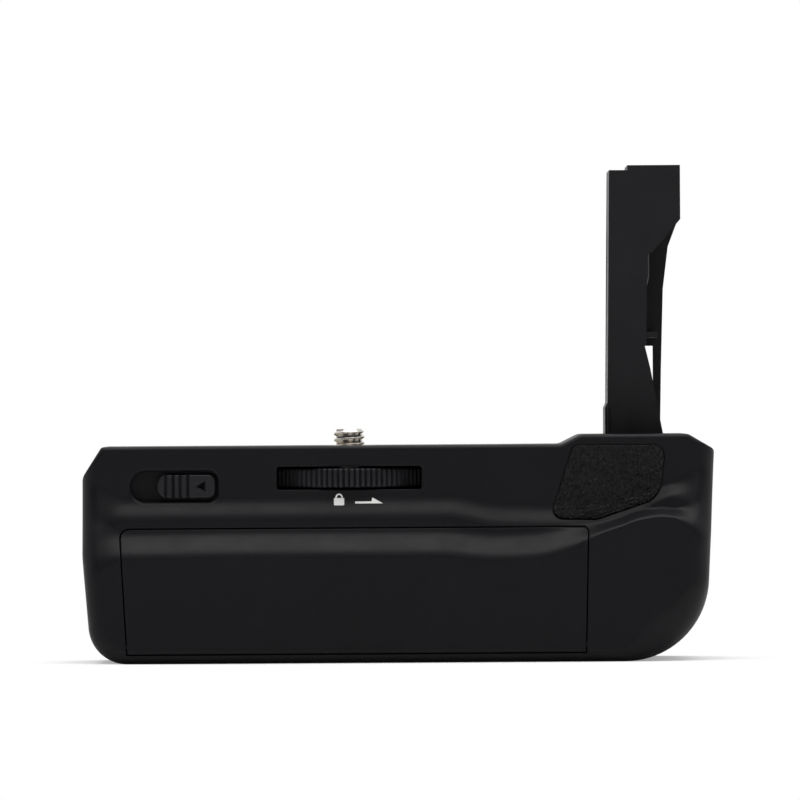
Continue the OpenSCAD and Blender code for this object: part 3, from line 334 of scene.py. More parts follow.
def opening(loop, skin, floor, lip):
    """Cutter for an opening in the rear face with a rounded lip: rings of the loop follow the face, at the
    offset and depth of a circle's arc from nearly flat to square, then go down to a flat floor."""
    out = -inward(loop)
    angle = np.radians(np.linspace(18, 90, 6))
    offset = lip * (1 - np.sin(angle))
    level = -lip * (1 - np.cos(angle))
    rise = 0.35
    offset = np.concatenate([[offset[0] + rise / math.tan(angle[0])], offset])
    level = np.concatenate([[level[0] + rise], level])
    at = loop[None] + out[None] * offset[:, None, None]
    x, z = at[..., 0], at[..., 1]
    rings = np.stack([x, -(skin(x, z) + level[:, None]), z], -1)
    top = rings[:1] * [1, 0, 1] + [0, -REAR_TOTAL - 4, 0]
    foot = rings[-1:] * [1, 0, 1] + [0, floor, 0]
    return loft("cutter", np.concatenate([top, rings, foot]))


def settle(made):
    """Works the modifiers of a piece into its mesh."""
    graph = bpy.context.evaluated_depsgraph_get()
    mesh = bpy.data.meshes.new_from_object(made.evaluated_get(graph))
    old = made.data
    made.modifiers.clear()
    made.data = mesh
    bpy.data.meshes.remove(old)


def carve(made, tool, operation="DIFFERENCE"):
    """Takes a closed tool from a closed piece, or joins it, and removes the tool."""
    step = made.modifiers.new("carve", "BOOLEAN")
    step.operation = operation
    step.solver = "MANIFOLD"
    step.object = tool
    settle(made)
    bpy.data.objects.remove(tool)


def edge_radius(top, bottom, left, right, corner):
    """Radius for an inward direction: the four sides' radii by squares of its parts, and the lower right one.
    Those of the two sides shrink to a quarter towards the top, where the roll alone rounds them."""
    def radius(n, height):
        x, z = n[:, 0], n[:, 1]
        held = 1 - 0.75 * ease((height - 22) / 14)
        return (top * np.maximum(0, -z) ** 2 + bottom * np.maximum(0, z) ** 2
                + left * held * np.maximum(0, x) ** 2 + right * held * np.maximum(0, -x) ** 2
                + 2 * corner * np.maximum(0, -x) * np.maximum(0, z))
    return radius


def even_radius(r):
    return lambda n, height: np.full(len(n), r)


def flat(depth):
    return lambda x, z: np.full(np.shape(x), depth)


# Case halves

case_loop = rounded_loop(CASE_CORNERS, 0.6, 4)
case_in = inward(case_loop)
hub_way = unit(np.stack([np.clip(case_loop[:, 0], *CASE_HUB[:2]), np.full(len(case_loop), CASE_HUB[2])], 1)
               - case_loop)
inner_loop = case_loop + hub_way * (WALL / np.maximum(0.4, (case_in * hub_way).sum(1)))[:, None]

DECK_X = [deck_low[0] - FIT, deck_high[0] + FIT]
DECK_Y = [deck_low[1] - FIT, deck_high[1] + FIT]
BASE_X = [plate_low[0] - FIT, plate_high[0] + FIT]
BASE_Y = [plate_low[1] - FIT, plate_high[1] + FIT]
BASE_RIM = 3.0
stalk_low = limits("stalk_rear_half")[0]
STALK_X = stalk_low[0] + 4.8
STALK_Y = stalk_low[1] + 3.5
STALK_D = 36
STALK_BACK = STALK_Y + STALK_D
FLANGE_Z = SHOULDER_Z - WALL
bush_low, bush_high = limits("deck_bush")
SCREW_X = (bush_low[0] + bush_high[0]) / 2
SCREW_Y = (bush_low[1] + bush_high[1]) / 2


def open_case(made):
    """Cuts that both case halves share: recesses of the deck and the base plate, and the stalk's hole."""
    carve(made, plate(DECK_X, DECK_Y, [deck_low[2], SHOULDER_Z + 5], 3))
    carve(made, plate(BASE_X, BASE_Y, [-5, plate_high[2]], 4))
    carve(made, plate([BASE_X[0] + BASE_RIM, BASE_X[1] - BASE_RIM], [BASE_Y[0] + BASE_RIM, BASE_Y[1] - BASE_RIM],
                      [-5, WALL + 1], 4))
    carve(made, rod([SCREW_X, SCREW_Y, DECK_Z - 8], [SCREW_X, SCREW_Y, DECK_Z + 8], 5.375))
    carve(made, plate([STALK_X - 1.8, STALK_X + 11.2], [STALK_Y - 1.3, STALK_BACK + 0.3],
                      [FLANGE_Z - 1, SHOULDER_Z + 5], 0.3))


def door_loop(by, step):
    """Outline of the door or, larger by a gap, of its opening."""
    return rounded_loop([
        [DOOR_FOOT_X[0] - by, DOOR_FOOT - by, 0.25], [DOOR_FOOT_X[1] + by, DOOR_FOOT - by, 0.25],
        [DOOR_RIGHT + by, DOOR_TOP + by, 0.8 + by], [DOOR_LEFT - by, DOOR_TOP + by, 1.7 + by]], step)


slider_low, slider_high = limits("latch_slider")
LATCH_Z = (slider_low[2] + slider_high[2]) / 2
SLIDER_H = slider_high[2] - slider_low[2]
TRAVEL = 5.0
RECESS_X = [slider_low[0] - TRAVEL - 0.5, slider_high[0] + 0.5]
RECESS_H = SLIDER_H + 1.4
RECESS_BACK = -REAR_DEPTH + 2.6
LATCH_X = (slider_low[0] + slider_high[0]) / 2
STEM_X = [slider_low[0] + TRAVEL + 1, slider_low[0] + TRAVEL + 5]


def latch_loop(x, h, left_r, right_r, step):
    """Outline of the slider or its recess, rounder on the left than on the right."""
    low, high = LATCH_Z - h / 2, LATCH_Z + h / 2
    return rounded_loop([[x[0], low, left_r], [x[1], low, right_r], [x[1], high, right_r], [x[0], high, left_r]],
                        step)


wheel_low, wheel_high = limits("lock_wheel")
WHEEL_R = (wheel_high[0] - wheel_low[0]) / 2
WHEEL_T = 3.9
WHEEL_TOP = wheel_high[2]
WHEEL_MID = WHEEL_TOP - WHEEL_T / 2
SLOT_HALF = 14.85
SLOT_H = WHEEL_T + 0.8
SLOT_LOOP = rounded_loop([
    [SCREW_X - SLOT_HALF, WHEEL_MID - SLOT_H / 2, 0.5], [SCREW_X + SLOT_HALF, WHEEL_MID - SLOT_H / 2, 0.5],
    [SCREW_X + SLOT_HALF, WHEEL_MID + SLOT_H / 2, 0.5], [SCREW_X - SLOT_HALF, WHEEL_MID + SLOT_H / 2, 0.5]], 0.8)

PAD_TOP = DECK_Z - 0.2
PAD_CORNERS = [[HALF_W - 34, DOOR_TOP + 1.8, 2], [HALF_W - 24, DOOR_TOP + 1.6, 5],
               [HALF_W - 11.3, DOOR_TOP + 6, 5], [HALF_W - 10, PAD_TOP, 2.4], [HALF_W - 29, PAD_TOP, 1.4]]
PAD_HUB = [HALF_W - 26, HALF_W - 16, DECK_Z - 7]
RUBBER_X = [HALF_W - 41, HALF_W - 14]
RUBBER_Z = [5, DECK_Z - 4]
RUBBER_CORNERS = [[RUBBER_X[0], RUBBER_Z[0], 5], [RUBBER_X[1], RUBBER_Z[0], 5],
                  [RUBBER_X[1], RUBBER_Z[1], 5], [RUBBER_X[0], RUBBER_Z[1], 5]]
RUBBER_HUB = [RUBBER_X[0] + 10, RUBBER_X[1] - 10, DECK_Z / 2]
SKIN_DEEP = 0.55
PAD_RISE = 0.35
SKIN_GAP = 0.15


def pad_face(x, z):
    """Depth of the thumb pad's seat: the rear face, whose rise at the first step nears a limit as one less an
    exponential."""
    return REAR_DEPTH + PAD_RISE * (1 - np.exp((REAR_DEPTH - rear(x, z)) / PAD_RISE))


def grown(corners, by):
    """Corners moved out from their middle, for the recess round a soft skin."""
    c = np.array(corners, float)
    middle = (c[:, :2].min(0) + c[:, :2].max(0)) / 2
    c[:, :2] += by * np.sign(c[:, :2] - middle)
    c[:, 2] += by
    return c


pin_low, pin_high = limits("hinge_pins")
HINGE_Y = (pin_low[1] + pin_high[1]) / 2
HINGE_Z = (pin_low[2] + pin_high[2]) / 2
HINGE_LIP_R = 2.2

rear_shell = form("rear_shell", case_loop, CASE_HUB, rear, flat(0), edge_radius(1, FOOT_R, LEFT_R, SIDE_R, 4),
                  -1, 9, 130, seam=SEAM, roll=side_roll(SIDE_R, LEFT_R))
carve(rear_shell, prism(inner_loop, -(REAR_DEPTH - WALL), 1))
carve(rear_shell, block([RECESS_X[0] - 2.6, RECESS_X[1] + 2.6], [1 - REAR_DEPTH, RECESS_BACK + 2],
                        [LATCH_Z - RECESS_H / 2 - 1.7, LATCH_Z + RECESS_H / 2 + 1.7]), "UNION")
carve(rear_shell, opening(door_loop(DOOR_GAP, 0.8), door_skin, -REAR_DEPTH + WALL + 0.5, 0.2))
carve(rear_shell, rod([DOOR_FOOT_X[0] - DOOR_GAP, HINGE_Y, HINGE_Z], [DOOR_FOOT_X[1] + DOOR_GAP, HINGE_Y, HINGE_Z],
                      HINGE_LIP_R))
carve(rear_shell, opening(SLOT_LOOP, rear, -REAR_DEPTH + WALL + 5, 0.3))
carve(rear_shell, opening(latch_loop(RECESS_X, RECESS_H, RECESS_H / 2 - 0.05, 2, 0.8), rear, RECESS_BACK, 0.7))
carve(rear_shell, block([STEM_X[0] - TRAVEL - 0.5, STEM_X[1] + 0.5], [-REAR_TOTAL, 0],
                        [LATCH_Z - 1.4, LATCH_Z + 1.4]))
carve(rear_shell, form("cutter", rounded_loop(grown(PAD_CORNERS, SKIN_GAP), 0.8), PAD_HUB,
                       lambda x, z: rear(x, z) + 4, lambda x, z: pad_face(x, z) - SKIN_DEEP - 0.05,
                       even_radius(0.2), -1, 2, 12, floor_steps=12))
open_case(rear_shell)

front_shell = form("front_shell", case_loop, FRONT_HUB, front, flat(0), edge_radius(1.5, 5, LEFT_R, CORNER_R, 0),
                   1, 14, 60, seam=SEAM, roll=side_roll(CORNER_R, LEFT_R))
carve(front_shell, prism(inner_loop, -1, FRONT_DEPTH - WALL))
carve(front_shell, block([HALF_W - 31, HALF_W - 6.6], [FRONT_DEPTH - WALL - 1, FRONT_TOTAL - WALL - 0.4],
                         [9, FLANGE_Z]))
carve(front_shell, form("cutter", rounded_loop(grown(RUBBER_CORNERS, SKIN_GAP), 0.8), RUBBER_HUB,
                        lambda x, z: front(x, z) + 4, lambda x, z: front(x, z) - SKIN_DEEP - 0.05,
                        even_radius(0.2), 1, 2, 20, floor_steps=20))
RELEASE = np.array([HALF_W - 0.5 - CORNER_R, FRONT_TOTAL - CORNER_R, DECK_Z - 20.6])
RELEASE_WAY = np.array([1, 1, 0]) / math.sqrt(2)
carve(front_shell, rod(RELEASE, RELEASE + RELEASE_WAY * 30, 5.65))
jack_low, jack_high = limits("release_jack")
JACK = (jack_low + jack_high) / 2
carve(front_shell, rod([JACK[0], 5, JACK[2]], [JACK[0], 60, JACK[2]], 3.05))
open_case(front_shell)

# Door

door_panel = form("door_panel", door_loop(DOOR_GROW, 0.7), DOOR_HUB, door_skin, flat(DOOR_BACK),
                  even_radius(0.25), -1, 5, 60)
DOOR_INNER = [-REAR_TOTAL + DOOR_SKIN, 0]
carve(door_panel, block([DOOR_LEFT + 3, DOOR_RIGHT - 2], DOOR_INNER, [-1, 22.8]))
carve(door_panel, block([DOOR_LEFT - 5, DOOR_RIGHT + 5], DOOR_INNER, [-1, HINGE_Z + 2]))
carve(door_panel, block([DOOR_LEFT - 5, DOOR_RIGHT + 5], [-DOOR_BACK - 1.2, 0], [DOOR_TOP - 0.5, DOOR_TOP + 5]))
carve(door_panel, rod([DOOR_LEFT + 2, HINGE_Y, HINGE_Z], [DOOR_RIGHT - 1.2, HINGE_Y, HINGE_Z], 1.5), "UNION")
bolt_low = limits("latch_bolt")[0]
KEEPER_X = LATCH_X + 8
keeper = block([KEEPER_X, KEEPER_X + 3], [-DOOR_BACK - 0.5, door_high[1]], [bolt_low[2] - 0.3, bolt_low[2] + 1.1])
carve(keeper, block([KEEPER_X - 1, KEEPER_X + 2.2], [bolt_low[1] - 0.2, bolt_low[1] + 1.0],
                    [bolt_low[2] - 0.1, bolt_low[2] + 0.9]))
carve(door_panel, keeper, "UNION")
carve(door_panel, rod([DOOR_LEFT - 4, HINGE_Y, HINGE_Z], [DOOR_LEFT + 5.2, HINGE_Y, HINGE_Z], 0.65, 24))
carve(door_panel, rod([DOOR_RIGHT - 4.4, HINGE_Y, HINGE_Z], [DOOR_RIGHT + 4, HINGE_Y, HINGE_Z], 0.65, 24))
for made in (rear_shell, front_shell, door_panel):
    shade(made)

# Soft skins: pebbled rubber

grain_draw = np.random.default_rng(7)


def pebbles(x, z, pitch, seeds):
    """Relief of grained rubber, 0 in the creases and up to 1 on the pebbles: distance to the second nearest seed
    less the distance to the nearest, eased, times a height of each pebble's own."""
    flat_x, flat_z = x.ravel(), z.ravel()
    relief = np.empty(flat_x.size)
    for part in np.array_split(np.arange(flat_x.size), max(1, flat_x.size // 4000)):
        away = np.hypot(flat_x[part, None] - seeds[None, :, 0], flat_z[part, None] - seeds[None, :, 1])
        order = np.argpartition(away, 1, axis=1)
        near = np.take_along_axis(away, order[:, :2], 1)
        relief[part] = ease((near[:, 1] - near[:, 0]) / (0.55 * pitch)) * seeds[order[:, 0], 2]
    return relief.reshape(x.shape)


def pebble_seeds(corners, pitch):
    """Jittered grid of seeds over corners: place, and each pebble's height."""
    c = np.array(corners, float)
    gx, gz = np.meshgrid(np.arange(c[:, 0].min() - 2, c[:, 0].max() + 2, pitch),
                         np.arange(c[:, 1].min() - 2, c[:, 1].max() + 2, pitch))
    place = np.stack([gx.ravel(), gz.ravel()], 1)
    place += grain_draw.uniform(-0.46, 0.46, place.shape) * pitch
    return np.column_stack([place, grain_draw.uniform(0.55, 1.0, len(place))])


PEBBLE_PITCH = 0.9
PEBBLE_DEEP = 0.26


def soft_skin(name, corners, hub, face, proud, side, step, steps):
    """Rubber skin let into a face: a pillow just above it, lowered into the creases of its pebbles."""
    seeds = pebble_seeds(corners, PEBBLE_PITCH)

    def skin(x, z):
        return face(x, z) + proud - PEBBLE_DEEP * (1 - pebbles(x, z, PEBBLE_PITCH, seeds))
    return form(name, rounded_loop(corners, step), hub, skin, lambda x, z: face(x, z) - SKIN_DEEP,
                even_radius(0.25), side, 3, steps, hub_r=0.15, floor_steps=8)


thumb_skin = soft_skin("thumb_skin", PAD_CORNERS, PAD_HUB, pad_face, 0.3, -1, 0.15, 70)
lobe_skin = soft_skin("lobe_skin", RUBBER_CORNERS, RUBBER_HUB, front, 0.4, 1, 0.2, 96)

for made, body, node, slot in (
        (rear_shell, "housing", "rear_casing", "case_plastic"),
        (front_shell, "housing", "front_casing", "case_plastic"),
        (door_panel, "door", "battery_door", "case_plastic"),
        (thumb_skin, "housing", "thumb_pad", "rubber"),
        (lobe_skin, "housing", "grip_rubber", "rubber")):
    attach(made, body)
    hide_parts(node)


# Lock wheel and camera screw

KNURLS = 104
KNURL_DEEP = 0.42
HUB_FOOT = wheel_low[2]


def turned(name, radius, height, closed, sharp=38.0):
    """Solid of revolution about the screw's axis: rings of radius by angle at each height, closed on itself like
    a tyre or by flat ends."""
    count, n = radius.shape
    angle = np.linspace(0, 2 * np.pi, n, endpoint=False)
    points = np.stack([SCREW_X + radius * np.cos(angle), SCREW_Y + radius * np.sin(angle), height], -1)
    if closed:
        points = np.concatenate([points, points[:1]])
        return piece(name, points.reshape(-1, 3), strips(count + 1, n), sharp)
    return loft(name, points, sharp)


def wheel():
    """Profile carried round the axis. Knurl: each pitch has a rounded rib, from one less a high power of its
    distance from the rib's middle, sunk by the groove's depth between ribs."""
    n = KNURLS * 12
    phase = np.abs((np.arange(n) * KNURLS / n) % 1 - 0.5) * 2
    rib = 1 - np.clip((phase - 0.5) / 0.5, 0, 1) ** 0.7
    groove = KNURL_DEEP * (1 - rib)
    top, foot = WHEEL_TOP, WHEEL_TOP - WHEEL_T
    round_in = 0.45 * (1 - np.sin(np.linspace(0, np.pi / 2, 5)))
    round_up = 0.45 * (1 - np.cos(np.linspace(0, np.pi / 2, 5)))
    rim = [[WHEEL_R - i, foot + u, 1] for i, u in zip(round_in, round_up)]
    rim += [[WHEEL_R - i, top - u, 1] for i, u in zip(round_in[::-1], round_up[::-1])]
    profile = np.array([[2.02, HUB_FOOT, 0], [4.5, HUB_FOOT, 0], [4.5, foot, 0], [WHEEL_R - 2.2, foot, 0],
                        [WHEEL_R - 1.0, foot, 0.6]] + rim
                       + [[WHEEL_R - 1.0, top, 0.6], [WHEEL_R - 2.2, top, 0], [WHEEL_R - 2.4, top - 0.3, 0],
                          [6.4, top - 0.3, 0], [6.2, top, 0], [5.0, top, 0], [5.0, top - 1.5, 0],
                          [2.02, top - 1.5, 0]])
    radius = profile[:, :1] - profile[:, 2:] * groove[None]
    height = np.broadcast_to(profile[:, 1:2], radius.shape)
    return turned("knurled_wheel", radius, height, True, 34)


THREAD_R = 3.175
THREAD_PITCH = 25.4 / 20
THREAD_DEEP = 0.62
screw_low, screw_high = limits("camera_screw")


def screw():
    """Profile up the axis. Thread: over the stud the radius falls from crest to root and back once a pitch, and
    the fall turns with the angle, so it climbs as a helix; it fades out under the chamfered tip."""
    n = 72
    angle = np.linspace(0, 2 * np.pi, n, endpoint=False)
    foot, top = screw_low[2], screw_high[2]
    collar = WHEEL_TOP - 1.48
    clip = limits("wheel_clip")[0][2] - 0.05
    below = np.array([[1.7, foot], [2.0, foot + 0.3], [2.0, clip], [1.5, clip], [1.5, clip + 0.7],
                      [2.0, clip + 0.7], [2.0, collar], [4.975, collar], [4.975, collar + 2.1],
                      [3.975, collar + 2.1], [3.975, DECK_Z - 0.1], [2.7, DECK_Z - 0.1]])
    z = np.linspace(DECK_Z - 0.05, top, 90)
    turn = (z[:, None] / THREAD_PITCH - angle[None] / (2 * np.pi)) % 1
    tooth = np.clip(np.abs(turn - 0.5) * 2.6 - 0.25, 0, 1)
    stud = THREAD_R - THREAD_DEEP * tooth
    stud = np.minimum(stud, THREAD_R + 0.1 - np.maximum(0, z - top + 0.75)[:, None])
    cup = np.array([[2.2, top], [1.9, top - 0.25]])
    radius = np.concatenate([np.repeat(below[:, :1], n, 1), stud, np.repeat(cup[:, :1], n, 1)])
    height = np.concatenate([np.repeat(below[:, 1:], n, 1), np.repeat(z[:, None], n, 1),
                             np.repeat(cup[:, 1:], n, 1)])
    return turned("mount_screw", radius, height, False, 42)


knurled_wheel = wheel()
mount_screw = screw()

# Latch slider

SLIDER_X = [slider_low[0], slider_high[0]]
SLIDER_FACE = REAR_DEPTH + 0.3
RIB_PITCH = 1.5
RIB_X = SLIDER_X[0] + 1.4
POINTER_X = SLIDER_X[1] - 1.9


def slider_skin(x, z):
    """Flat face, less round grooves between the ribs, less a three-sided pointer with a sloping rim."""
    phase = (x - RIB_X) / RIB_PITCH
    along = np.clip(np.abs(phase % 1 - 0.2) * RIB_PITCH / 0.42, 0, 1)
    ribbed = (phase > -0.1) & (phase < 3.6)
    groove = 0.5 * (1 - ease(along)) * ribbed
    dx, dz = x - POINTER_X, np.abs(z - LATCH_Z)
    inside = np.minimum(-dx, (dx + 2.3) * 0.477 - dz * 0.879)
    return SLIDER_FACE - groove - 0.45 * ease(inside / 0.25)


slider_cap = form("slider_cap", latch_loop(SLIDER_X, SLIDER_H, 2, 1.5, 0.18), [LATCH_X - 4, LATCH_X + 4, LATCH_Z],
                  slider_skin, flat(-RECESS_BACK + 0.3), even_radius(0.4), -1, 5, 22, hub_r=0.1)
carve(slider_cap, block(STEM_X, [RECESS_BACK - 1, slider_high[1]], [LATCH_Z - 1.1, LATCH_Z + 1.1]), "UNION")
shade(slider_cap)

# Sign under the wheel: a padlock and a half arrow, printed on the case

PRINT_RISE = 0.025
PRINT_SUNK = 0.06


def print_patch(name, x, z, skin=rear):
    """Thin closed patch of print over a grid of places, just above a face and sunk into it."""
    rows, n = x.shape
    face = skin(x, z)
    top = np.stack([x, -(face + PRINT_RISE), z], -1)
    foot = np.stack([x, -(face - PRINT_SUNK), z], -1)
    grid = strips(rows, n, 0, False)
    other = strips(rows, n, rows * n, False)
    i = np.arange(n - 1)
    j = np.arange(rows - 1)
    size = rows * n
    sides = [np.stack([i, i + 1, i + 1 + size, i + size], 1),
             np.stack([i, i + 1, i + 1 + size, i + size], 1) + (rows - 1) * n,
             np.stack([j * n, (j + 1) * n, (j + 1) * n + size, j * n + size], 1),
             np.stack([j * n, (j + 1) * n, (j + 1) * n + size, j * n + size], 1) + n - 1]
    faces = grid + other + np.concatenate(sides).tolist()
    return piece(name, np.concatenate([top.reshape(-1, 3), foot.reshape(-1, 3)]), faces)


def spread(low, high, count):
    return np.linspace(low, high, count)


SIGN_Z = 33.2
ARROW_X = [-8.9, -3.2]
ARROW_HEAD = 2.2
u, v = np.meshgrid(spread(0, 1, 30), spread(0, 1, 6))
arrow_x = ARROW_X[0] + (ARROW_X[1] - ARROW_X[0]) * u
head = np.clip((ARROW_X[1] - arrow_x) / ARROW_HEAD, 0, 1)
arrow_top = np.where(arrow_x > ARROW_X[1] - ARROW_HEAD, 1.25 * head, 0.42)
arrow = print_patch("sign_arrow", arrow_x, SIGN_Z - 0.5 + arrow_top * v)
u, v = np.meshgrid(spread(0, 1, 16), spread(0, 1, 10))
LOCK_X = -12.2
corner = np.sqrt(np.maximum(0, 1 - np.clip((np.abs(u - 0.5) * 2 - 0.75) / 0.25, 0, 1) ** 2)) * 0.12 + 0.88
lock_body = print_patch("sign_lock_body", LOCK_X + 2.1 * (u - 0.5), SIGN_Z - 0.1 + 1.5 * corner * (v - 0.5))
turn_u, v = np.meshgrid(spread(np.pi, 0, 25), spread(0, 1, 4))
bow = 0.48 + 0.3 * v
lock_bow = print_patch("sign_lock_bow", LOCK_X + bow * np.cos(turn_u),
                       SIGN_Z + 0.68 + (bow + 0.1) * np.sin(turn_u))

u, v = np.meshgrid(spread(0.12, 1, 20), spread(-1, 1, 15))
pointer = print_patch("slider_pointer", POINTER_X - 0.2 - 1.75 * (1 - u), LATCH_Z + 0.92 * u * v,
                      flat(SLIDER_FACE - 0.45))

# Foam pads on the door

cushion_low, cushion_high = limits("door_cushions")
CUSHION_W = 24.0


def foam_pad(name, x, y, z):
    """Crowned pad: a rounded-square dome, flat behind, whose height is the fourth root of one less each side's
    eighth power, so that its edges roll over."""
    u, v = np.meshgrid(spread(-1, 1, 41), spread(-1, 1, 21))
    dome = ((1 - np.abs(u) ** 8) * (1 - np.abs(v) ** 8)) ** 0.35
    px = (x[0] + x[1]) / 2 + (x[1] - x[0]) / 2 * u * (1 - 0.02 * v * v)
    pz = (z[0] + z[1]) / 2 + (z[1] - z[0]) / 2 * v * (1 - 0.015 * u * u)
    top = np.stack([px, y[0] + 0.12 + (y[1] - y[0] - 0.12) * dome, pz], -1).reshape(-1, 3)
    foot = np.stack([px, np.full(px.shape, y[0]), pz], -1).reshape(-1, 3)
    rows, n = u.shape
    size = rows * n
    edge = np.concatenate([np.arange(n), np.arange(2 * n - 1, size, n), np.arange(size - 2, size - n - 1, -1),
                           np.arange(size - 2 * n, 0, -n)])
    after = np.roll(edge, -1)
    walls = np.stack([edge, after, after + size, edge + size], 1).tolist()
    faces = strips(rows, n, 0, False) + strips(rows, n, size, False) + walls
    return piece(name, np.concatenate([top, foot]), faces)


cushion_y = [cushion_low[1], cushion_high[1]]
cushion_z = [cushion_low[2], cushion_high[2]]
pad_left = foam_pad("door_pad_left", [cushion_low[0], cushion_low[0] + CUSHION_W], cushion_y, cushion_z)
pad_right = foam_pad("door_pad_right", [cushion_high[0] - CUSHION_W, cushion_high[0]], cushion_y, cushion_z)

# Return springs

LATCH_WIRE = 0.2
RELEASE_WIRE = 0.22
RELEASE_COIL_R = 3.6
RELEASE_SEAT = 3.25
BUTTON_FOOT = CORNER_R - 2.85


def coil(name, start, way, length, radius, wire, turns):
    """Round wire on a helix: a circle of the wire's radius, square to its course, carried along a line that turns
    about the way at one radius and climbs evenly."""
    across = unit(np.cross(way, [0.0, 0.0, 1.0]))
    share = np.linspace(0, 1, 24 * turns + 1)[:, None]
    angle = 2 * np.pi * turns * share
    out = across * np.cos(angle) + np.cross(way, across) * np.sin(angle)
    middle = start + way * (wire + (length - 2 * wire) * share) + radius * out
    course = unit(np.gradient(middle, axis=0))
    round_wire = np.linspace(0, 2 * np.pi, 10, endpoint=False)[None, :, None]
    ring = out[:, None] * np.cos(round_wire) + np.cross(course, out)[:, None] * np.sin(round_wire)
    return loft(name, middle[:, None] + wire * ring, 60)


coil_low, coil_high = limits("latch_spring")
LATCH_SEAT = (coil_low + coil_high) / 2 * [0, 1, 1] + [coil_low[0], 0, 0]
LATCH_COIL = coil_high[0] - coil_low[0]
latch_coil = coil("latch_coil", LATCH_SEAT, np.array([1.0, 0, 0]), LATCH_COIL,
                  (coil_high[2] - coil_low[2]) / 2 - LATCH_WIRE, LATCH_WIRE, 6)
RELEASE_COIL = BUTTON_FOOT - RELEASE_SEAT
release_coil = coil("release_coil", RELEASE + RELEASE_WAY * RELEASE_SEAT, RELEASE_WAY, RELEASE_COIL,
                    RELEASE_COIL_R, RELEASE_WIRE, 4)

for made, body, node, slot in (
        (latch_coil, "housing", "latch_spring", "nickel_steel"),
        (release_coil, "housing", "release_spring", "nickel_steel"),
        (knurled_wheel, "wheel", "lock_wheel", "case_plastic"),
        (mount_screw, "wheel", "camera_screw", "nickel_steel"),
        (slider_cap, "latch", "latch_slider", "case_plastic"),
        (pad_left, "door", "door_cushions", "rubber"),
        (pad_right, "door", "door_cushions", "rubber")):
    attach(made, body)
    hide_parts(node)
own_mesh(latch_coil)
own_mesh(release_coil)
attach(pointer, "latch")
for made in (arrow, lock_body, lock_bow):
    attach(made, "housing")


# Materials: shared effects as node groups

def group(name, inputs, outputs):
    """Empty shader group with named float or vector inputs and float outputs."""
    made = bpy.data.node_groups.new(name, "ShaderNodeTree")
    for label, kind, value in inputs:
        socket = made.interface.new_socket(label, in_out="INPUT", socket_type=kind)
        if value is not None:
            socket.default_value = value
    for label in outputs:
        made.interface.new_socket(label, in_out="OUTPUT", socket_type="NodeSocketFloat")
    enter = made.nodes.new("NodeGroupInput")
    leave = made.nodes.new("NodeGroupOutput")
    return made, enter, leave


def add_node(tree, kind, **values):
    """Node of a kind, with properties by name and inputs by socket label."""
    made = tree.nodes.new(kind)
    for label, value in values.items():
        key = label.replace("_", " ").title()
        if hasattr(made, label):
            setattr(made, label, value)
        else:
            made.inputs[key].default_value = value
    return made


def moulded_grain():
    """Fine spark texture of a moulding tool: two sizes of noise for relief, a broad one for tone and polish."""
    made, enter, leave = group("moulded_grain", [("Vector", "NodeSocketVector", None),
                                                 ("Grain", "NodeSocketFloat", 5200.0),
                                                 ("Spread", "NodeSocketFloat", 60.0)],
                               ["Height", "Tone", "Polish"])
    fine = add_node(made, "ShaderNodeTexNoise", detail=2.0, roughness=0.55)
    coarse = add_node(made, "ShaderNodeTexNoise", detail=1.0, roughness=0.5)
    broad = add_node(made, "ShaderNodeTexNoise", detail=4.0, roughness=0.6)
    rub = add_node(made, "ShaderNodeTexNoise", scale=190.0, detail=3.0, roughness=0.6)
    third = add_node(made, "ShaderNodeMath", operation="MULTIPLY")
    third.inputs[1].default_value = 0.35
    mix = add_node(made, "ShaderNodeMath", operation="MULTIPLY_ADD")
    mix.inputs[1].default_value = 0.6
    link = made.links.new
    for noise in (fine, coarse, broad, rub):
        link(enter.outputs["Vector"], noise.inputs["Vector"])
    link(enter.outputs["Grain"], fine.inputs["Scale"])
    link(enter.outputs["Spread"], broad.inputs["Scale"])
    link(enter.outputs["Grain"], third.inputs[0])
    link(third.outputs[0], coarse.inputs["Scale"])
    link(coarse.outputs["Fac"], mix.inputs[0])
    link(fine.outputs["Fac"], mix.inputs[2])
    link(mix.outputs[0], leave.inputs["Height"])
    link(broad.outputs["Fac"], leave.inputs["Tone"])
    link(rub.outputs["Fac"], leave.inputs["Polish"])
    return made


GRAIN = moulded_grain()


